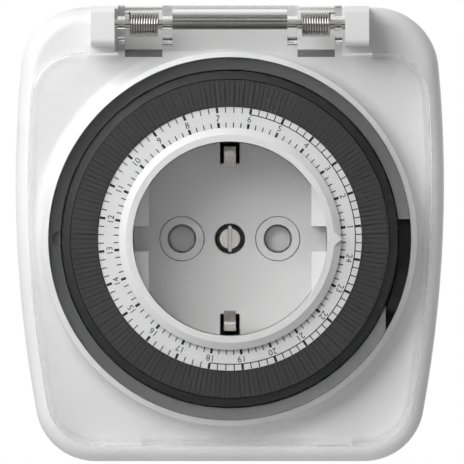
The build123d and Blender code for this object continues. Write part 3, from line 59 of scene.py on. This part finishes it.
# ---------------------------------------------------------------- sizes of the dial, in millimetres
HOURS = 24
QUARTERS = 4
DIAL_PHASE = -9.3  # degrees from +X towards +Z to the 24 o'clock mark
TAPPETS = HOURS * QUARTERS
JOINT_SHARE = 0.07  # half width of the painted shade at a joint between tappets, as a share of their pitch
INNER_MARKS = (21.9, 22.9)
OUTER_MARKS = (24.85, 25.95)
HOUR_MARK = 0.5
QUARTER_MARK = 0.2
NUMBER_RADIUS = 23.75
NUMBER_SIZE = 1.75
NUMBER_CURVE_STEPS = 3
NIGHT_LINE = (24.65, 24.85)
NIGHT_HOURS = (18, 30)  # from 18 o'clock to 6 o'clock
NIGHT_STEPS = 96
INK = 0.02  # height of the print

# ---------------------------------------------------------------- sizes of the socket, in millimetres
HOLE_PLACE = 9.5
HOLE_RADIUS = 2.75
HOLE_LINE = 0.1  # half width of the shaded line at the hole's wall
HOLE_RING = 4.4
RING_LINE = 0.06
RECESS_RING = (2.87, 0.17)  # radius and half width of the gap around the centre screw
SCREW_FLANK = (2.45, 0.45)  # the same for the painted shade on the slope of its head
SCREW_SLOT = (0.375, 0.07)  # place and half width of the painted shade at the slot's edges
CLIP_CUT = 3.25  # how far above the socket's axis the clip's upper arm starts

# ---------------------------------------------------------------- lid and hinge springs, in millimetres
LID_SEAT = 55.5  # from the plug boss's end to the ends of the lid's walls, towards -Y
LID_SEAT_MARGIN = 0.1
HINGE_HEIGHT = 59.2  # from the plug boss's end to the hinge's axis, towards -Y
HINGE_LEVEL = 42.2  # height of the hinge's axis on Z
MIDDLE_HALF = 11.3  # half length of the barrel between the knuckles
WINDOW = (13.3, 20.65)
WINDOW_SILL_PAINTED_LINE = (36.5, 0.72)  # level and half height of the grey line painted on the sill below the window as shade; the lines below give the same for grey lines painted on the knuckles and barrel as reflections
# grey lines painted as reflections of the view bent by the knuckles and the barrel
KNUCKLE_PAINTED_LINES = ((39.0, 0.12), (38.2, 0.1))
BARREL_PAINTED_LINES = ((45.3, 0.13), (44.6, 0.05), (43.65, 0.4), (42.78, 0.1), (41.6, 0.3))
SPRING_ENDS = (13.95, 19.95)
SPRING_RADIUS = 2.25
SPRING_WIRE = 0.21
SPRING_TURNS = 11
SPRING_BEND = 0.6
SPRING_LEG = 1.6
LEG_TURN = 90  # degrees that the outer leg is bent outwards
WIRE_SIDES = 10
TURN_STEPS = 30
BEND_STEPS = 6
END_REACH = 1.2  # how far from the wire's middle an end's points are looked for, in wire radii
SPRING_EDGE = 50  # degrees above which an edge of the spring stays sharp

# ---------------------------------------------------------------- finishes
DRIFT = 18  # size of the slow drift in moulded plastic, in millimetres
STREAK_DEPTH = 0.004  # depth of the streaks in drawn metal, in millimetres
POLYCARBONATE_IOR = 1.58


def linear(hex_colour):
    """An sRGB hex colour as linear RGBA."""
    parts = [int(hex_colour[i:i + 2], 16) / 255 for i in (1, 3, 5)]
    return [c / 12.92 if c <= 0.04045 else ((c + 0.055) / 1.055) ** 2.4 for c in parts] + [1.0]


def add(tree, kind, links=None, values=None, **settings):
    """Add a node with its settings, its plain socket values and its links."""
    node = tree.nodes.new(kind)
    for name, value in settings.items():
        setattr(node, name, value)
    for socket, value in (values or {}).items():
        node.inputs[socket].default_value = value
    for socket, source in (links or {}).items():
        tree.links.new(source, node.inputs[socket])
    return node


def new_material(name):
    """An empty material with its output node."""
    material = bpy.data.materials.new(name)
    material.use_nodes = True
    material.node_tree.nodes.clear()
    return material, material.node_tree, add(material.node_tree, "ShaderNodeOutputMaterial")


def fill_ramp(ramp, stops):
    """Set a colour ramp's stops, given as places and colours."""
    while len(ramp.elements) < len(stops):
        ramp.elements.new(0.5)
    for element, (position, colour) in zip(ramp.elements, stops):
        element.position = position
        element.color = colour


def within(tree, value, middle, half):
    """1 where a value in metres is within half a width of a middle, both in millimetres."""
    mask = add(tree, "ShaderNodeMath", {0: value}, {1: middle * MM, 2: half * MM}, operation="COMPARE")
    return mask.outputs["Value"]


def either(tree, one, other):
    """The larger of two values."""
    return add(tree, "ShaderNodeMath", {0: one, 1: other}, operation="MAXIMUM").outputs["Value"]


def both(tree, one, other):
    """The product of two values."""
    return add(tree, "ShaderNodeMath", {0: one, 1: other}, operation="MULTIPLY").outputs["Value"]


def coloured(tree, mask, base, over):
    """A base colour, as a hex value or an output, with another hex colour where the mask is 1."""
    mix = add(tree, "ShaderNodeMix", {"Factor": mask}, {MIX_OVER: linear(over)}, data_type="RGBA")
    if isinstance(base, str):
        mix.inputs[MIX_BASE].default_value = linear(base)
    else:
        tree.links.new(base, mix.inputs[MIX_BASE])
    return mix.outputs[MIX_RESULT]


def ring_line(tree, place, centre_x, radius, half):
    """A line around an axis along Y at a place on X: 1 within half a width of its radius, in millimetres."""
    shifted = add(tree, "ShaderNodeVectorMath", {0: place}, {1: (centre_x * MM, 0, 0)}, operation="SUBTRACT")
    flat = add(tree, "ShaderNodeVectorMath", {0: shifted.outputs["Vector"]}, {1: (1, 0, 1)},
               operation="MULTIPLY")
    away = add(tree, "ShaderNodeVectorMath", {0: flat.outputs["Vector"]}, operation="LENGTH")
    return within(tree, away.outputs["Value"], radius, half)


def hole_lines(tree, place):
    """The walls of the pin holes, the fine rings around them and the gap around the screw, all in shade."""
    found = ring_line(tree, place, 0, *RECESS_RING)
    for centre_x in (-HOLE_PLACE, HOLE_PLACE):
        for radius, half in ((HOLE_RADIUS, HOLE_LINE), (HOLE_RING, RING_LINE)):
            found = either(tree, found, ring_line(tree, place, centre_x, radius, half))
    return found


def screw_lines(tree, place):
    """Painted shade on the slope of the centre screw's head and at the edges of its slot."""
    parts = add(tree, "ShaderNodeSeparateXYZ", {"Vector": place})
    sideways = add(tree, "ShaderNodeMath", {0: parts.outputs["X"]}, operation="ABSOLUTE").outputs["Value"]
    slope = ring_line(tree, place, 0, *SCREW_FLANK)
    beside = add(tree, "ShaderNodeMath", {0: sideways}, {1: SCREW_SLOT[0] * MM}, operation="GREATER_THAN")
    edges = within(tree, sideways, *SCREW_SLOT)
    return either(tree, both(tree, slope, beside.outputs["Value"]), edges)


def tappet_joints(tree, place):
    """Painted shade at the joints between neighbouring tappets, evenly around the dial."""
    parts = add(tree, "ShaderNodeSeparateXYZ", {"Vector": place})
    angle = add(tree, "ShaderNodeMath", {0: parts.outputs["Z"], 1: parts.outputs["X"]}, operation="ARCTAN2")
    start = add(tree, "ShaderNodeMath", {0: angle.outputs["Value"]},
                {1: radians(-DIAL_PHASE) + 2 * pi + pi / TAPPETS}, operation="ADD")
    pitches = add(tree, "ShaderNodeMath", {0: start.outputs["Value"]}, {1: TAPPETS / (2 * pi)},
                  operation="MULTIPLY")
    away = add(tree, "ShaderNodeMath", {0: pitches.outputs["Value"]}, {1: 0.5}, operation="PINGPONG")
    joint = add(tree, "ShaderNodeMath", {0: away.outputs["Value"]}, {1: JOINT_SHARE}, operation="LESS_THAN")
    return joint.outputs["Value"]


def two_shades(tree, place, pattern, spread, shades, lines, line_shade_colour):
    """Two shades that follow a pattern between two of its values, with lines painted in a colour of their own
    as shade.
    """
    ramp = add(tree, "ShaderNodeValToRGB", {"Fac": pattern})
    fill_ramp(ramp.color_ramp, [(level, linear(shade)) for level, shade in zip(spread, shades)])
    if lines is None:
        return ramp.outputs["Color"]
    return coloured(tree, lines(tree, place), ramp.outputs["Color"], line_shade_colour)


def moulded(name, dark, light, roughness, grain, depth, specular=0.5, ior=1.53, lines=None,
            line_shade_colour=None):
    """Moulded plastic: two near shades drifting over centimetres, and a spark-eroded grain with its size in
    mm. Lines are narrow places, such as joints and holes, painted in a colour of their own as shade."""
    material, tree, output = new_material(name)
    place = add(tree, "ShaderNodeTexCoord").outputs["Object"]
    drift = add(tree, "ShaderNodeTexNoise", {"Vector": place}, {"Scale": 1 / (DRIFT * MM), "Detail": 2.0})
    colour = two_shades(tree, place, drift.outputs["Fac"], (0.35, 0.65), (dark, light), lines, line_shade_colour)
    spark = add(tree, "ShaderNodeTexNoise", {"Vector": place},
                {"Scale": 1 / (grain * MM), "Detail": 3.0, "Roughness": 0.6})
    polish = add(tree, "ShaderNodeMapRange", {"Value": drift.outputs["Fac"]},
                 {"To Min": roughness - 0.03, "To Max": roughness + 0.03})
    bump = add(tree, "ShaderNodeBump", {"Height": spark.outputs["Fac"]},
               {"Strength": 0.5, "Distance": depth * MM})
    skin = add(tree, "ShaderNodeBsdfPrincipled",
               {"Base Color": colour, "Roughness": polish.outputs["Result"],
                "Normal": bump.outputs["Normal"]},
               {"IOR": ior, "Specular IOR Level": specular})
    tree.links.new(skin.outputs["BSDF"], output.inputs["Surface"])
    return material


def drawn_metal(name, dark, light, roughness, stretch, lines=None, line_shade_colour=None):
    """Bright metal with fine streaks along the way it was drawn or rolled; stretch is the pattern's size
    in mm along X, Y and Z."""
    material, tree, output = new_material(name)
    place = add(tree, "ShaderNodeTexCoord").outputs["Object"]
    way = add(tree, "ShaderNodeMapping", {"Vector": place}, {"Scale": [1 / (s * MM) for s in stretch]})
    streak = add(tree, "ShaderNodeTexNoise", {"Vector": way.outputs["Vector"]}, {"Scale": 1.0, "Detail": 3.0})
    colour = two_shades(tree, place, streak.outputs["Fac"], (0.3, 0.7), (dark, light), lines, line_shade_colour)
    polish = add(tree, "ShaderNodeMapRange", {"Value": streak.outputs["Fac"]},
                 {"To Min": roughness - 0.05, "To Max": roughness + 0.05})
    bump = add(tree, "ShaderNodeBump", {"Height": streak.outputs["Fac"]},
               {"Strength": 0.4, "Distance": STREAK_DEPTH * MM})
    skin = add(tree, "ShaderNodeBsdfPrincipled",
               {"Base Color": colour, "Roughness": polish.outputs["Result"],
                "Normal": bump.outputs["Normal"]},
               {"Metallic": 1.0})
    tree.links.new(skin.outputs["BSDF"], output.inputs["Surface"])
    return material


def clear_polycarbonate():
    """Polished polycarbonate, clear as glass, that lets the lamps through to the dial. The ends of its walls
    are left matt by the tool. Grey lines are painted into its tint on the barrel and knuckles as painted
    reflections of the view they bend, and below each window as painted shade."""
    material, tree, output = new_material("clear_polycarbonate")
    place = add(tree, "ShaderNodeTexCoord").outputs["Object"]
    parts = add(tree, "ShaderNodeSeparateXYZ", {"Vector": place})
    sideways = add(tree, "ShaderNodeMath", {0: parts.outputs["X"]}, operation="ABSOLUTE").outputs["Value"]
    middle = within(tree, sideways, 0, MIDDLE_HALF)
    knuckle = within(tree, sideways, (WINDOW[0] + MIDDLE_HALF) / 2, (WINDOW[0] - MIDDLE_HALF) / 2)
    window = within(tree, sideways, sum(WINDOW) / 2, (WINDOW[1] - WINDOW[0]) / 2)
    # mask of the grey lines painted into the tint: painted shade below the windows, painted reflections on the
    # knuckles and barrel
    bent = both(tree, window, within(tree, parts.outputs["Z"], *WINDOW_SILL_PAINTED_LINE))
    for stretch, lines in ((knuckle, KNUCKLE_PAINTED_LINES), (middle, BARREL_PAINTED_LINES)):
        for level, half in lines:
            bent = either(tree, bent, both(tree, stretch, within(tree, parts.outputs["Z"], level, half)))
    matt_end = within(tree, parts.outputs["Y"], -LID_SEAT, LID_SEAT_MARGIN)
    # 8A8A8A is the grey of the painted lines of shade and reflection
    colour = coloured(tree, matt_end, coloured(tree, bent, "#F8F8F8", "#8A8A8A"), "#DEDEDE")
    clear = add(tree, "ShaderNodeMapRange", {"Value": matt_end}, {"To Min": 1.0, "To Max": 0.6})
    blur = add(tree, "ShaderNodeMapRange", {"Value": matt_end}, {"To Min": 0.02, "To Max": 0.5})
    skin = add(tree, "ShaderNodeBsdfPrincipled",
               {"Base Color": colour, "Transmission Weight": clear.outputs["Result"],
                "Roughness": blur.outputs["Result"]},
               {"IOR": POLYCARBONATE_IOR})
    open_way = add(tree, "ShaderNodeBsdfTransparent", values={"Color": linear("#F5F5F5")})
    ray = add(tree, "ShaderNodeLightPath")
    mix = add(tree, "ShaderNodeMixShader", {"Fac": ray.outputs["Is Shadow Ray"]})
    tree.links.new(skin.outputs["BSDF"], mix.inputs[1])
    tree.links.new(open_way.outputs["BSDF"], mix.inputs[2])
    tree.links.new(mix.outputs["Shader"], output.inputs["Surface"])
    return material


def dress(material, *names):
    """Give CAD nodes a finish through their material slots."""
    for name in names:
        for material_slot in nodes[name].material_slots:
            material_slot.material = material


# ================================================================ finishes
# ABS housing, moulded in a fine spark-eroded tool: a soft satin white that blurs every highlight
housing_white = moulded("satin_white_abs", "#E1E1E1", "#E7E7E7", 0.36, 0.5, 0.012)
# the well and the bezel come from a smoother tool and shine a little more
smooth_white = moulded("smooth_white_abs", "#DEDEDE", "#E4E4E4", 0.30, 0.7, 0.006)
# the socket's floor, of the same plastic, with shaded lines where its holes and rings cut in
floor_white = moulded("floor_white_abs", "#D6D6D6", "#DCDCDC", 0.34, 0.7, 0.006, lines=hole_lines,
                      line_shade_colour="#5C5C5C")
# printed scale: a matt white lacquered face that keeps the small print crisp
scale_white = moulded("matt_white_scale", "#DCDCDC", "#E2E2E2", 0.5, 0.4, 0.004)
# tappets: dark grey ABS from a spark-eroded tool, with a dry, slightly scattered sheen and painted shade at
# their joints
tappet_grey = moulded("dark_grey_abs", "#323232", "#373737", 0.5, 0.35, 0.02, specular=0.45,
                      lines=tappet_joints, line_shade_colour="#1A1A1A")
# dial body: the same plastic painted a shade deeper, as painted shade on its recessed rim
carrier_shaded_grey = moulded("shaded_deep_grey_abs", "#262626", "#2A2A2A", 0.55, 0.35, 0.02, specular=0.4)
surround_grey = moulded("mid_grey_abs", "#686868", "#6E6E6E", 0.6, 0.35, 0.02, specular=0.3)
override_black = moulded("black_abs", "#0E0E0E", "#121212", 0.45, 0.35, 0.02, specular=0.3)
acetal = moulded("natural_white_acetal", "#DCDBD6", "#E3E2DE", 0.38, 0.9, 0.008, ior=1.48)
rubber = moulded("black_nitrile_rubber", "#1B1B1C", "#202022", 0.7, 0.3, 0.02, specular=0.3)
# printing ink: solid dark grey, nearly matt
ink_black = moulded("printed_black_ink", "#1C1D1F", "#232426", 0.55, 0.2, 0.002, specular=0.3)
# zinc-plated steel screws: pale grey with a slight haze over turned lines
zinc_steel = drawn_metal("zinc_plated_steel", "#C2C3C4", "#D6D6D7", 0.42, (0.15, 1.2, 1.2))
# the centre screw: the same plating, bright on its polished top, with painted shade on the slope around it and
# at its slot's edges
screw_steel = drawn_metal("polished_zinc_steel", "#D6D2CC", "#E8E5E0", 0.38, (0.3, 1.2, 0.8),
                          lines=screw_lines, line_shade_colour="#A8A8A8")
# drawn spring wire and pin: bright and hard with lines along the wire
spring_steel = drawn_metal("drawn_spring_steel", "#A6A5A3", "#B8B7B5", 0.14, (3.0, 0.12, 0.12))
# nickel-plated brass contacts: a warm, soft mirror over rolled strip
nickel_brass = drawn_metal("nickel_plated_brass", "#C6C1BB", "#D8D3CD", 0.34, (0.2, 2.0, 2.0))
polycarbonate = clear_polycarbonate()

dress(housing_white, "front_housing", "rear_housing", "gear_plate")
dress(smooth_white, "socket_well", "bezel", "shutter")
dress(floor_white, "socket_floor")
dress(scale_white, "dial_scale")
dress(tappet_grey, "tappets", *[name for name in nodes if name.startswith("tappet_")])
dress(carrier_shaded_grey, "dial_carrier")
dress(surround_grey, "dial_surround")
dress(override_black, "override_track", "override_slider", "switch_case")
dress(acetal, "idler_gear", "motor_pinion", "trip_lever", "switch_plunger")
dress(rubber, "housing_seal", "plug_gasket")
dress(screw_steel, "centre_screw")
dress(zinc_steel, "housing_screws", "plate_pillars", "plate_screws", "well_screws", "motor_can")
dress(spring_steel, "hinge_pin", "idler_axle", "motor_shaft", "shutter_spring",
      "hinge_spring_left", "hinge_spring_right")
dress(nickel_brass, "plug_pin_live", "plug_pin_neutral", "plug_earth_strips", "earth_clip", "live_contact",
      "neutral_contact", "switch_terminals", "live_feed_bar", "switched_bar")
dress(polycarbonate, "lid")


# ================================================================ small tools for new pieces
def select_only(*objects):
    """Select these objects and make the first one active."""
    bpy.ops.object.select_all(action="DESELECT")
    for item in objects:
        item.select_set(True)
    bpy.context.view_layer.objects.active = objects[0]


def turned(angle):
    """Turn about the dial's axis, in degrees from +X towards +Z."""
    return Matrix.Rotation(-radians(angle), 4, "Y")


def joined(name, pieces, material, body):
    """Join pieces into one named object that rides on a body, with one finish."""
    select_only(*pieces)
    bpy.ops.object.join()
    whole = bpy.context.view_layer.objects.active
    whole.name = name
    whole.data.materials.clear()
    whole.data.materials.append(material)
    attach(whole, body)
    bpy.ops.object.select_all(action="DESELECT")
    return whole


def copies(model, angles):
    """Copies of a piece turned about the dial's axis, each with its own mesh; the model itself goes."""
    made = []
    for angle in angles:
        copy = model.copy()
        copy.data = model.data.copy()
        copy.data.transform(turned(angle))
        bpy.context.collection.objects.link(copy)
        made.append(copy)
    bpy.data.objects.remove(model)
    return made


# ================================================================ printed scale
scale_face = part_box("dial_scale")[0].y
print_depth = scale_face - INK * MM / 2


def mark(radii, width):
    """One printed mark on +X between two radii, with softened corners as ink has."""
    bpy.ops.mesh.primitive_cube_add(size=1, location=(sum(radii) / 2 * MM, print_depth, 0))
    piece = bpy.context.active_object
    piece.scale = ((radii[1] - radii[0]) * MM, INK * MM, width * MM)
    bpy.ops.object.transform_apply(location=True, rotation=True, scale=True)
    corner = piece.modifiers.new("ink_edge", "BEVEL")
    corner.width = INK * MM / 3
    corner.segments = 1
    bpy.ops.object.modifier_apply(modifier=corner.name)
    return piece


def number(hour):
    """One printed number with its top outwards."""
    bpy.ops.object.text_add()
    letter = bpy.context.active_object
    letter.data.body = str(hour)
    letter.data.size = NUMBER_SIZE * MM
    letter.data.align_x = "CENTER"
    letter.data.align_y = "CENTER"
    letter.data.resolution_u = NUMBER_CURVE_STEPS
    letter.data.extrude = INK * MM / 2
    bpy.ops.object.convert(target="MESH")
    angle = DIAL_PHASE + hour * 360 / HOURS
    stand = Matrix.Rotation(pi / 2, 4, "X")
    up_the_radius = Matrix.Translation((0, print_depth, NUMBER_RADIUS * MM))
    letter.data.transform(turned(angle - 90) @ up_the_radius @ stand)
    return letter


def night_line():
    """Fine arc that marks the night half, spun from a narrow bar."""
    start, end = [DIAL_PHASE + hour * 360 / HOURS for hour in NIGHT_HOURS]
    middle = sum(NIGHT_LINE) / 2
    bpy.ops.mesh.primitive_plane_add(size=1, location=(middle * MM, print_depth, 0))
    line = bpy.context.active_object
    line.scale = ((NIGHT_LINE[1] - NIGHT_LINE[0]) * MM, INK * MM, 1)
    bpy.ops.object.transform_apply(location=True, rotation=True, scale=True)
    line.data.transform(turned(end))
    bpy.ops.object.mode_set(mode="EDIT")
    bpy.ops.mesh.select_all(action="SELECT")
    bpy.ops.mesh.spin(steps=NIGHT_STEPS, angle=radians(end - start), center=(0, 0, 0), axis=(0, -1, 0))
    bpy.ops.mesh.select_all(action="SELECT")
    bpy.ops.mesh.normals_make_consistent(inside=False)
    bpy.ops.object.mode_set(mode="OBJECT")
    return line


hour_angles = [DIAL_PHASE + hour * 360 / HOURS for hour in range(HOURS)]
quarter_angles = [angle + quarter * 360 / HOURS / QUARTERS for angle in hour_angles
                  for quarter in range(1, QUARTERS)]
marks = []
for radii in (INNER_MARKS, OUTER_MARKS):
    marks += copies(mark(radii, HOUR_MARK), hour_angles)
    marks += copies(mark(radii, QUARTER_MARK), quarter_angles)
joined("scale_marks", marks, ink_black, "dial")
joined("scale_numbers", [number(hour) for hour in range(1, HOURS + 1)], ink_black, "dial")
joined("scale_night_line", [night_line()], ink_black, "dial")


# ================================================================ hinge springs
def wound_spring(name):
    """A close-wound torsion spring on the right of the hinge: a ring of wire wound about the pin, with a leg
    bent outwards to the hinge block and a straight leg on the lid."""
    start = SPRING_ENDS[0] + SPRING_WIRE
    pitch = (SPRING_ENDS[1] - SPRING_ENDS[0] - 2 * SPRING_WIRE) / SPRING_TURNS
    bpy.ops.mesh.primitive_circle_add(vertices=WIRE_SIDES, radius=SPRING_WIRE * MM, rotation=(pi / 2, 0, 0),
                                      location=(start * MM, 0, SPRING_RADIUS * MM))
    wire = bpy.context.active_object
    bpy.ops.object.transform_apply(location=True, rotation=True, scale=True)
    winding = wire.modifiers.new("winding", "SCREW")
    winding.axis = "X"
    winding.angle = 2 * pi
    winding.screw_offset = pitch * MM
    winding.iterations = SPRING_TURNS
    winding.steps = TURN_STEPS
    winding.render_steps = TURN_STEPS
    bpy.ops.object.modifier_apply(modifier=winding.name)
    end = start + pitch * SPRING_TURNS
    mesh = wire.data
    for side, bent in ((end, True), (start, False)):
        bpy.ops.object.mode_set(mode="EDIT")
        bpy.ops.mesh.select_mode(type="VERT")
        bpy.ops.mesh.select_all(action="SELECT")
        bpy.ops.mesh.remove_doubles(threshold=MERGE * MM)
        bpy.ops.mesh.select_all(action="DESELECT")
        bpy.ops.object.mode_set(mode="OBJECT")
        for vertex in mesh.vertices:
            on_top = abs(vertex.co.y) < 10 * MERGE * MM and vertex.co.z > 0
            vertex.select = on_top and abs(vertex.co.x - side * MM) < END_REACH * SPRING_WIRE * MM
        bpy.ops.object.mode_set(mode="EDIT")
        if bent:
            bend = ((side + SPRING_BEND) * MM, 0, SPRING_RADIUS * MM)
            bpy.ops.mesh.spin(steps=BEND_STEPS, angle=radians(LEG_TURN), center=bend, axis=(0, 0, 1))
            along_leg = (SPRING_LEG * MM, 0, 0)
        else:
            along_leg = (0, SPRING_LEG * MM, 0)
        bpy.ops.mesh.extrude_region_move(TRANSFORM_OT_translate={"value": along_leg})
        bpy.ops.mesh.edge_face_add()
        bpy.ops.object.mode_set(mode="OBJECT")
    bpy.ops.object.mode_set(mode="EDIT")
    bpy.ops.mesh.select_all(action="SELECT")
    bpy.ops.mesh.normals_make_consistent(inside=False)
    bpy.ops.object.mode_set(mode="OBJECT")
    bpy.ops.object.shade_smooth_by_angle(angle=radians(SPRING_EDGE))
    mesh.transform(Matrix.Translation((0, -HINGE_HEIGHT * MM, HINGE_LEVEL * MM)))
    wire.name = name
    return wire


for side_name, way in (("right", 1), ("left", -1)):
    spring = wound_spring("wound_spring_" + side_name)
    if way < 0:
        spring.data.transform(Matrix.Scale(-1, 4, (1, 0, 0)))
        select_only(spring)
        bpy.ops.object.mode_set(mode="EDIT")
        bpy.ops.mesh.select_all(action="SELECT")
        bpy.ops.mesh.normals_make_consistent(inside=False)
        bpy.ops.object.mode_set(mode="OBJECT")
    spring.data.materials.append(spring_steel)
    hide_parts("hinge_spring_" + side_name)
    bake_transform(spring)
    bpy.ops.object.select_all(action="DESELECT")


# ================================================================ upper arm of the earth clip
def clip_arm():
    """The earth clip's upper arm: the lower one mirrored about the socket's axis and cut off at the eye."""
    lower = nodes["earth_clip"]
    mesh = lower.data.copy()
    mesh.transform(lower.matrix_world)
    mesh.transform(Matrix.Scale(-1, 4, (0, 0, 1)))
    arm = bpy.data.objects.new("earth_clip_arm", mesh)
    bpy.context.collection.objects.link(arm)
    select_only(arm)
    bpy.ops.object.mode_set(mode="EDIT")
    bpy.ops.mesh.select_all(action="SELECT")
    bpy.ops.mesh.remove_doubles(threshold=MERGE * MM)
    bpy.ops.mesh.bisect(plane_co=(0, 0, CLIP_CUT * MM), plane_no=(0, 0, 1), use_fill=True, clear_inner=True)
    bpy.ops.mesh.select_all(action="SELECT")
    bpy.ops.mesh.normals_make_consistent(inside=False)
    bpy.ops.object.mode_set(mode="OBJECT")
    bpy.ops.object.shade_smooth_by_angle(angle=radians(30))
    return arm


joined("earth_clip_arm", [clip_arm()], nickel_brass, "root")

# ================================================================ light, floor and camera
PIN_PLANE = -0.042  # the socket's floor, where the view's scale holds
VIEW_DISTANCE = 2.5
VIEW_WIDTH = 0.09206
VIEW_CENTRE = (0.000417, 0.00133)
SENSOR = 36

camera = bpy.data.cameras.new("camera")
camera.sensor_width = SENSOR
camera.lens = SENSOR * VIEW_DISTANCE / VIEW_WIDTH
camera.clip_start = 0.1
camera.clip_end = 50
eye = bpy.data.objects.new("camera", camera)
bpy.context.collection.objects.link(eye)
eye.location = (VIEW_CENTRE[0], PIN_PLANE - VIEW_DISTANCE, VIEW_CENTRE[1])
eye.rotation_euler = (pi / 2, 0, 0)
bpy.context.scene.camera = eye


def lamp(name, place, aim, size, power):
    """A square soft box at a place, aimed at a point."""
    light = bpy.data.lights.new(name, "AREA")
    light.shape = "SQUARE"
    light.size = size
    light.energy = power
    box = bpy.data.objects.new(name, light)
    bpy.context.collection.objects.link(box)
    box.location = place
    box.rotation_euler = (Vector(aim) - Vector(place)).to_track_quat("-Z", "Y").to_euler()
    return box


FACE = (0, -0.055, 0)  # middle of the front
lamp("key_soft_box", (-0.26, -0.33, 0.26), FACE, 0.36, 1.85)
lamp("near_soft_box", (-0.13, -0.20, 0.10), (-0.02, -0.055, 0.01), 0.1, 0.035)
lamp("low_soft_box", (0.0, -0.42, -0.28), FACE, 0.2, 0.1)


FILL = 0.24  # brightness of the room on matt surfaces
FILL_SPREAD = (0.35, 1.65)  # share of the fill that comes from straight down and from straight up
REFLECTED = ((0.0, 0.22), (0.25, 0.10), (0.44, 0.06), (0.5, 0.45), (0.56, 1.0), (0.72, 1.0), (0.75, 0.25),
             (0.81, 0.25), (0.84, 1.0), (1.0, 0.8))  # brightness that gloss shows, from straight down to up
DARK_BEHIND = (-0.985, -0.93)  # Y of the directions between which the dark behind the camera ends
WHITE_BACK = 0.3  # Y of the directions past which the room is white behind the object
UNDER_LID = 3.5  # a ray that passed more faces than this came from a piece under the lid
SIDE_SHADE = (0.35, 0.7)  # sideways part of the directions between which the room darkens for such rays
SIDE_BRIGHTNESS = 0.1


def room():
    """Soft grey room for matt surfaces. Gloss and the lid show bands of light by height, white behind the
    object, dark behind the camera, and dark sides to pieces under the lid, which gives metal its contrast."""
    world = bpy.data.worlds.new("room")
    bpy.context.scene.world = world
    world.use_nodes = True
    tree = world.node_tree
    tree.nodes.clear()
    output = add(tree, "ShaderNodeOutputWorld")
    ray = add(tree, "ShaderNodeLightPath")
    way = add(tree, "ShaderNodeTexCoord")
    along = add(tree, "ShaderNodeSeparateXYZ", {"Vector": way.outputs["Generated"]})
    height = add(tree, "ShaderNodeMapRange", {"Value": along.outputs["Z"]},
                 {"From Min": -1.0, "From Max": 1.0})
    bands = add(tree, "ShaderNodeValToRGB", {"Fac": height.outputs["Result"]})
    fill_ramp(bands.color_ramp, [(position, (tone, tone, tone, 1.0)) for position, tone in REFLECTED])
    behind = add(tree, "ShaderNodeMapRange", {"Value": along.outputs["Y"]},
                 {"From Min": DARK_BEHIND[0], "From Max": DARK_BEHIND[1], "To Min": 0.0, "To Max": 1.0})
    under = add(tree, "ShaderNodeMath", {0: ray.outputs["Transmission Depth"]}, {1: UNDER_LID},
                operation="GREATER_THAN")
    sideways = add(tree, "ShaderNodeMath", {0: along.outputs["X"]}, operation="ABSOLUTE")
    ahead = add(tree, "ShaderNodeMapRange", {"Value": sideways.outputs["Value"]},
                {"From Min": SIDE_SHADE[0], "From Max": SIDE_SHADE[1], "To Min": 1.0,
                 "To Max": SIDE_BRIGHTNESS})
    sheltered = both(tree, under.outputs["Value"], ahead.outputs["Result"])
    facing = either(tree, behind.outputs["Result"], sheltered)
    mirror = both(tree, facing, bands.outputs["Color"])
    back = add(tree, "ShaderNodeMath", {0: along.outputs["Y"]}, {1: WHITE_BACK}, operation="GREATER_THAN")
    shine = either(tree, mirror, back.outputs["Value"])
    mirrored = either(tree, ray.outputs["Is Glossy Ray"], ray.outputs["Is Transmission Ray"])
    first = add(tree, "ShaderNodeMath", {0: ray.outputs["Diffuse Depth"]}, {1: 0.5}, operation="LESS_THAN")
    shown = both(tree, mirrored, first.outputs["Value"])
    soft = add(tree, "ShaderNodeMapRange", {"Value": along.outputs["Z"]},
               {"From Min": -1.0, "From Max": 1.0, "To Min": FILL_SPREAD[0] * FILL,
                "To Max": FILL_SPREAD[1] * FILL})
    seen = add(tree, "ShaderNodeMix", {"Factor": shown, "A": soft.outputs["Result"], "B": shine})
    strength = either(tree, seen.outputs["Result"], ray.outputs["Is Camera Ray"])
    light = add(tree, "ShaderNodeBackground", {"Strength": strength},
                {"Color": (1.0, 1.0, 1.0, 1.0)})
    tree.links.new(light.outputs["Background"], output.inputs["Surface"])


room()

FLOOR_LEVEL = -0.2
FLOOR_SIZE = 6
bpy.ops.mesh.primitive_plane_add(size=FLOOR_SIZE, location=(0, 0, FLOOR_LEVEL))
floor = bpy.context.active_object
floor.name = "floor"
floor.data.materials.append(moulded("pale_floor", "#F0F0F0", "#F4F4F4", 0.6, 4.0, 0.01))

bpy.context.scene.view_settings.view_transform = "Standard"

bpy.ops.object.select_all(action="DESELECT")
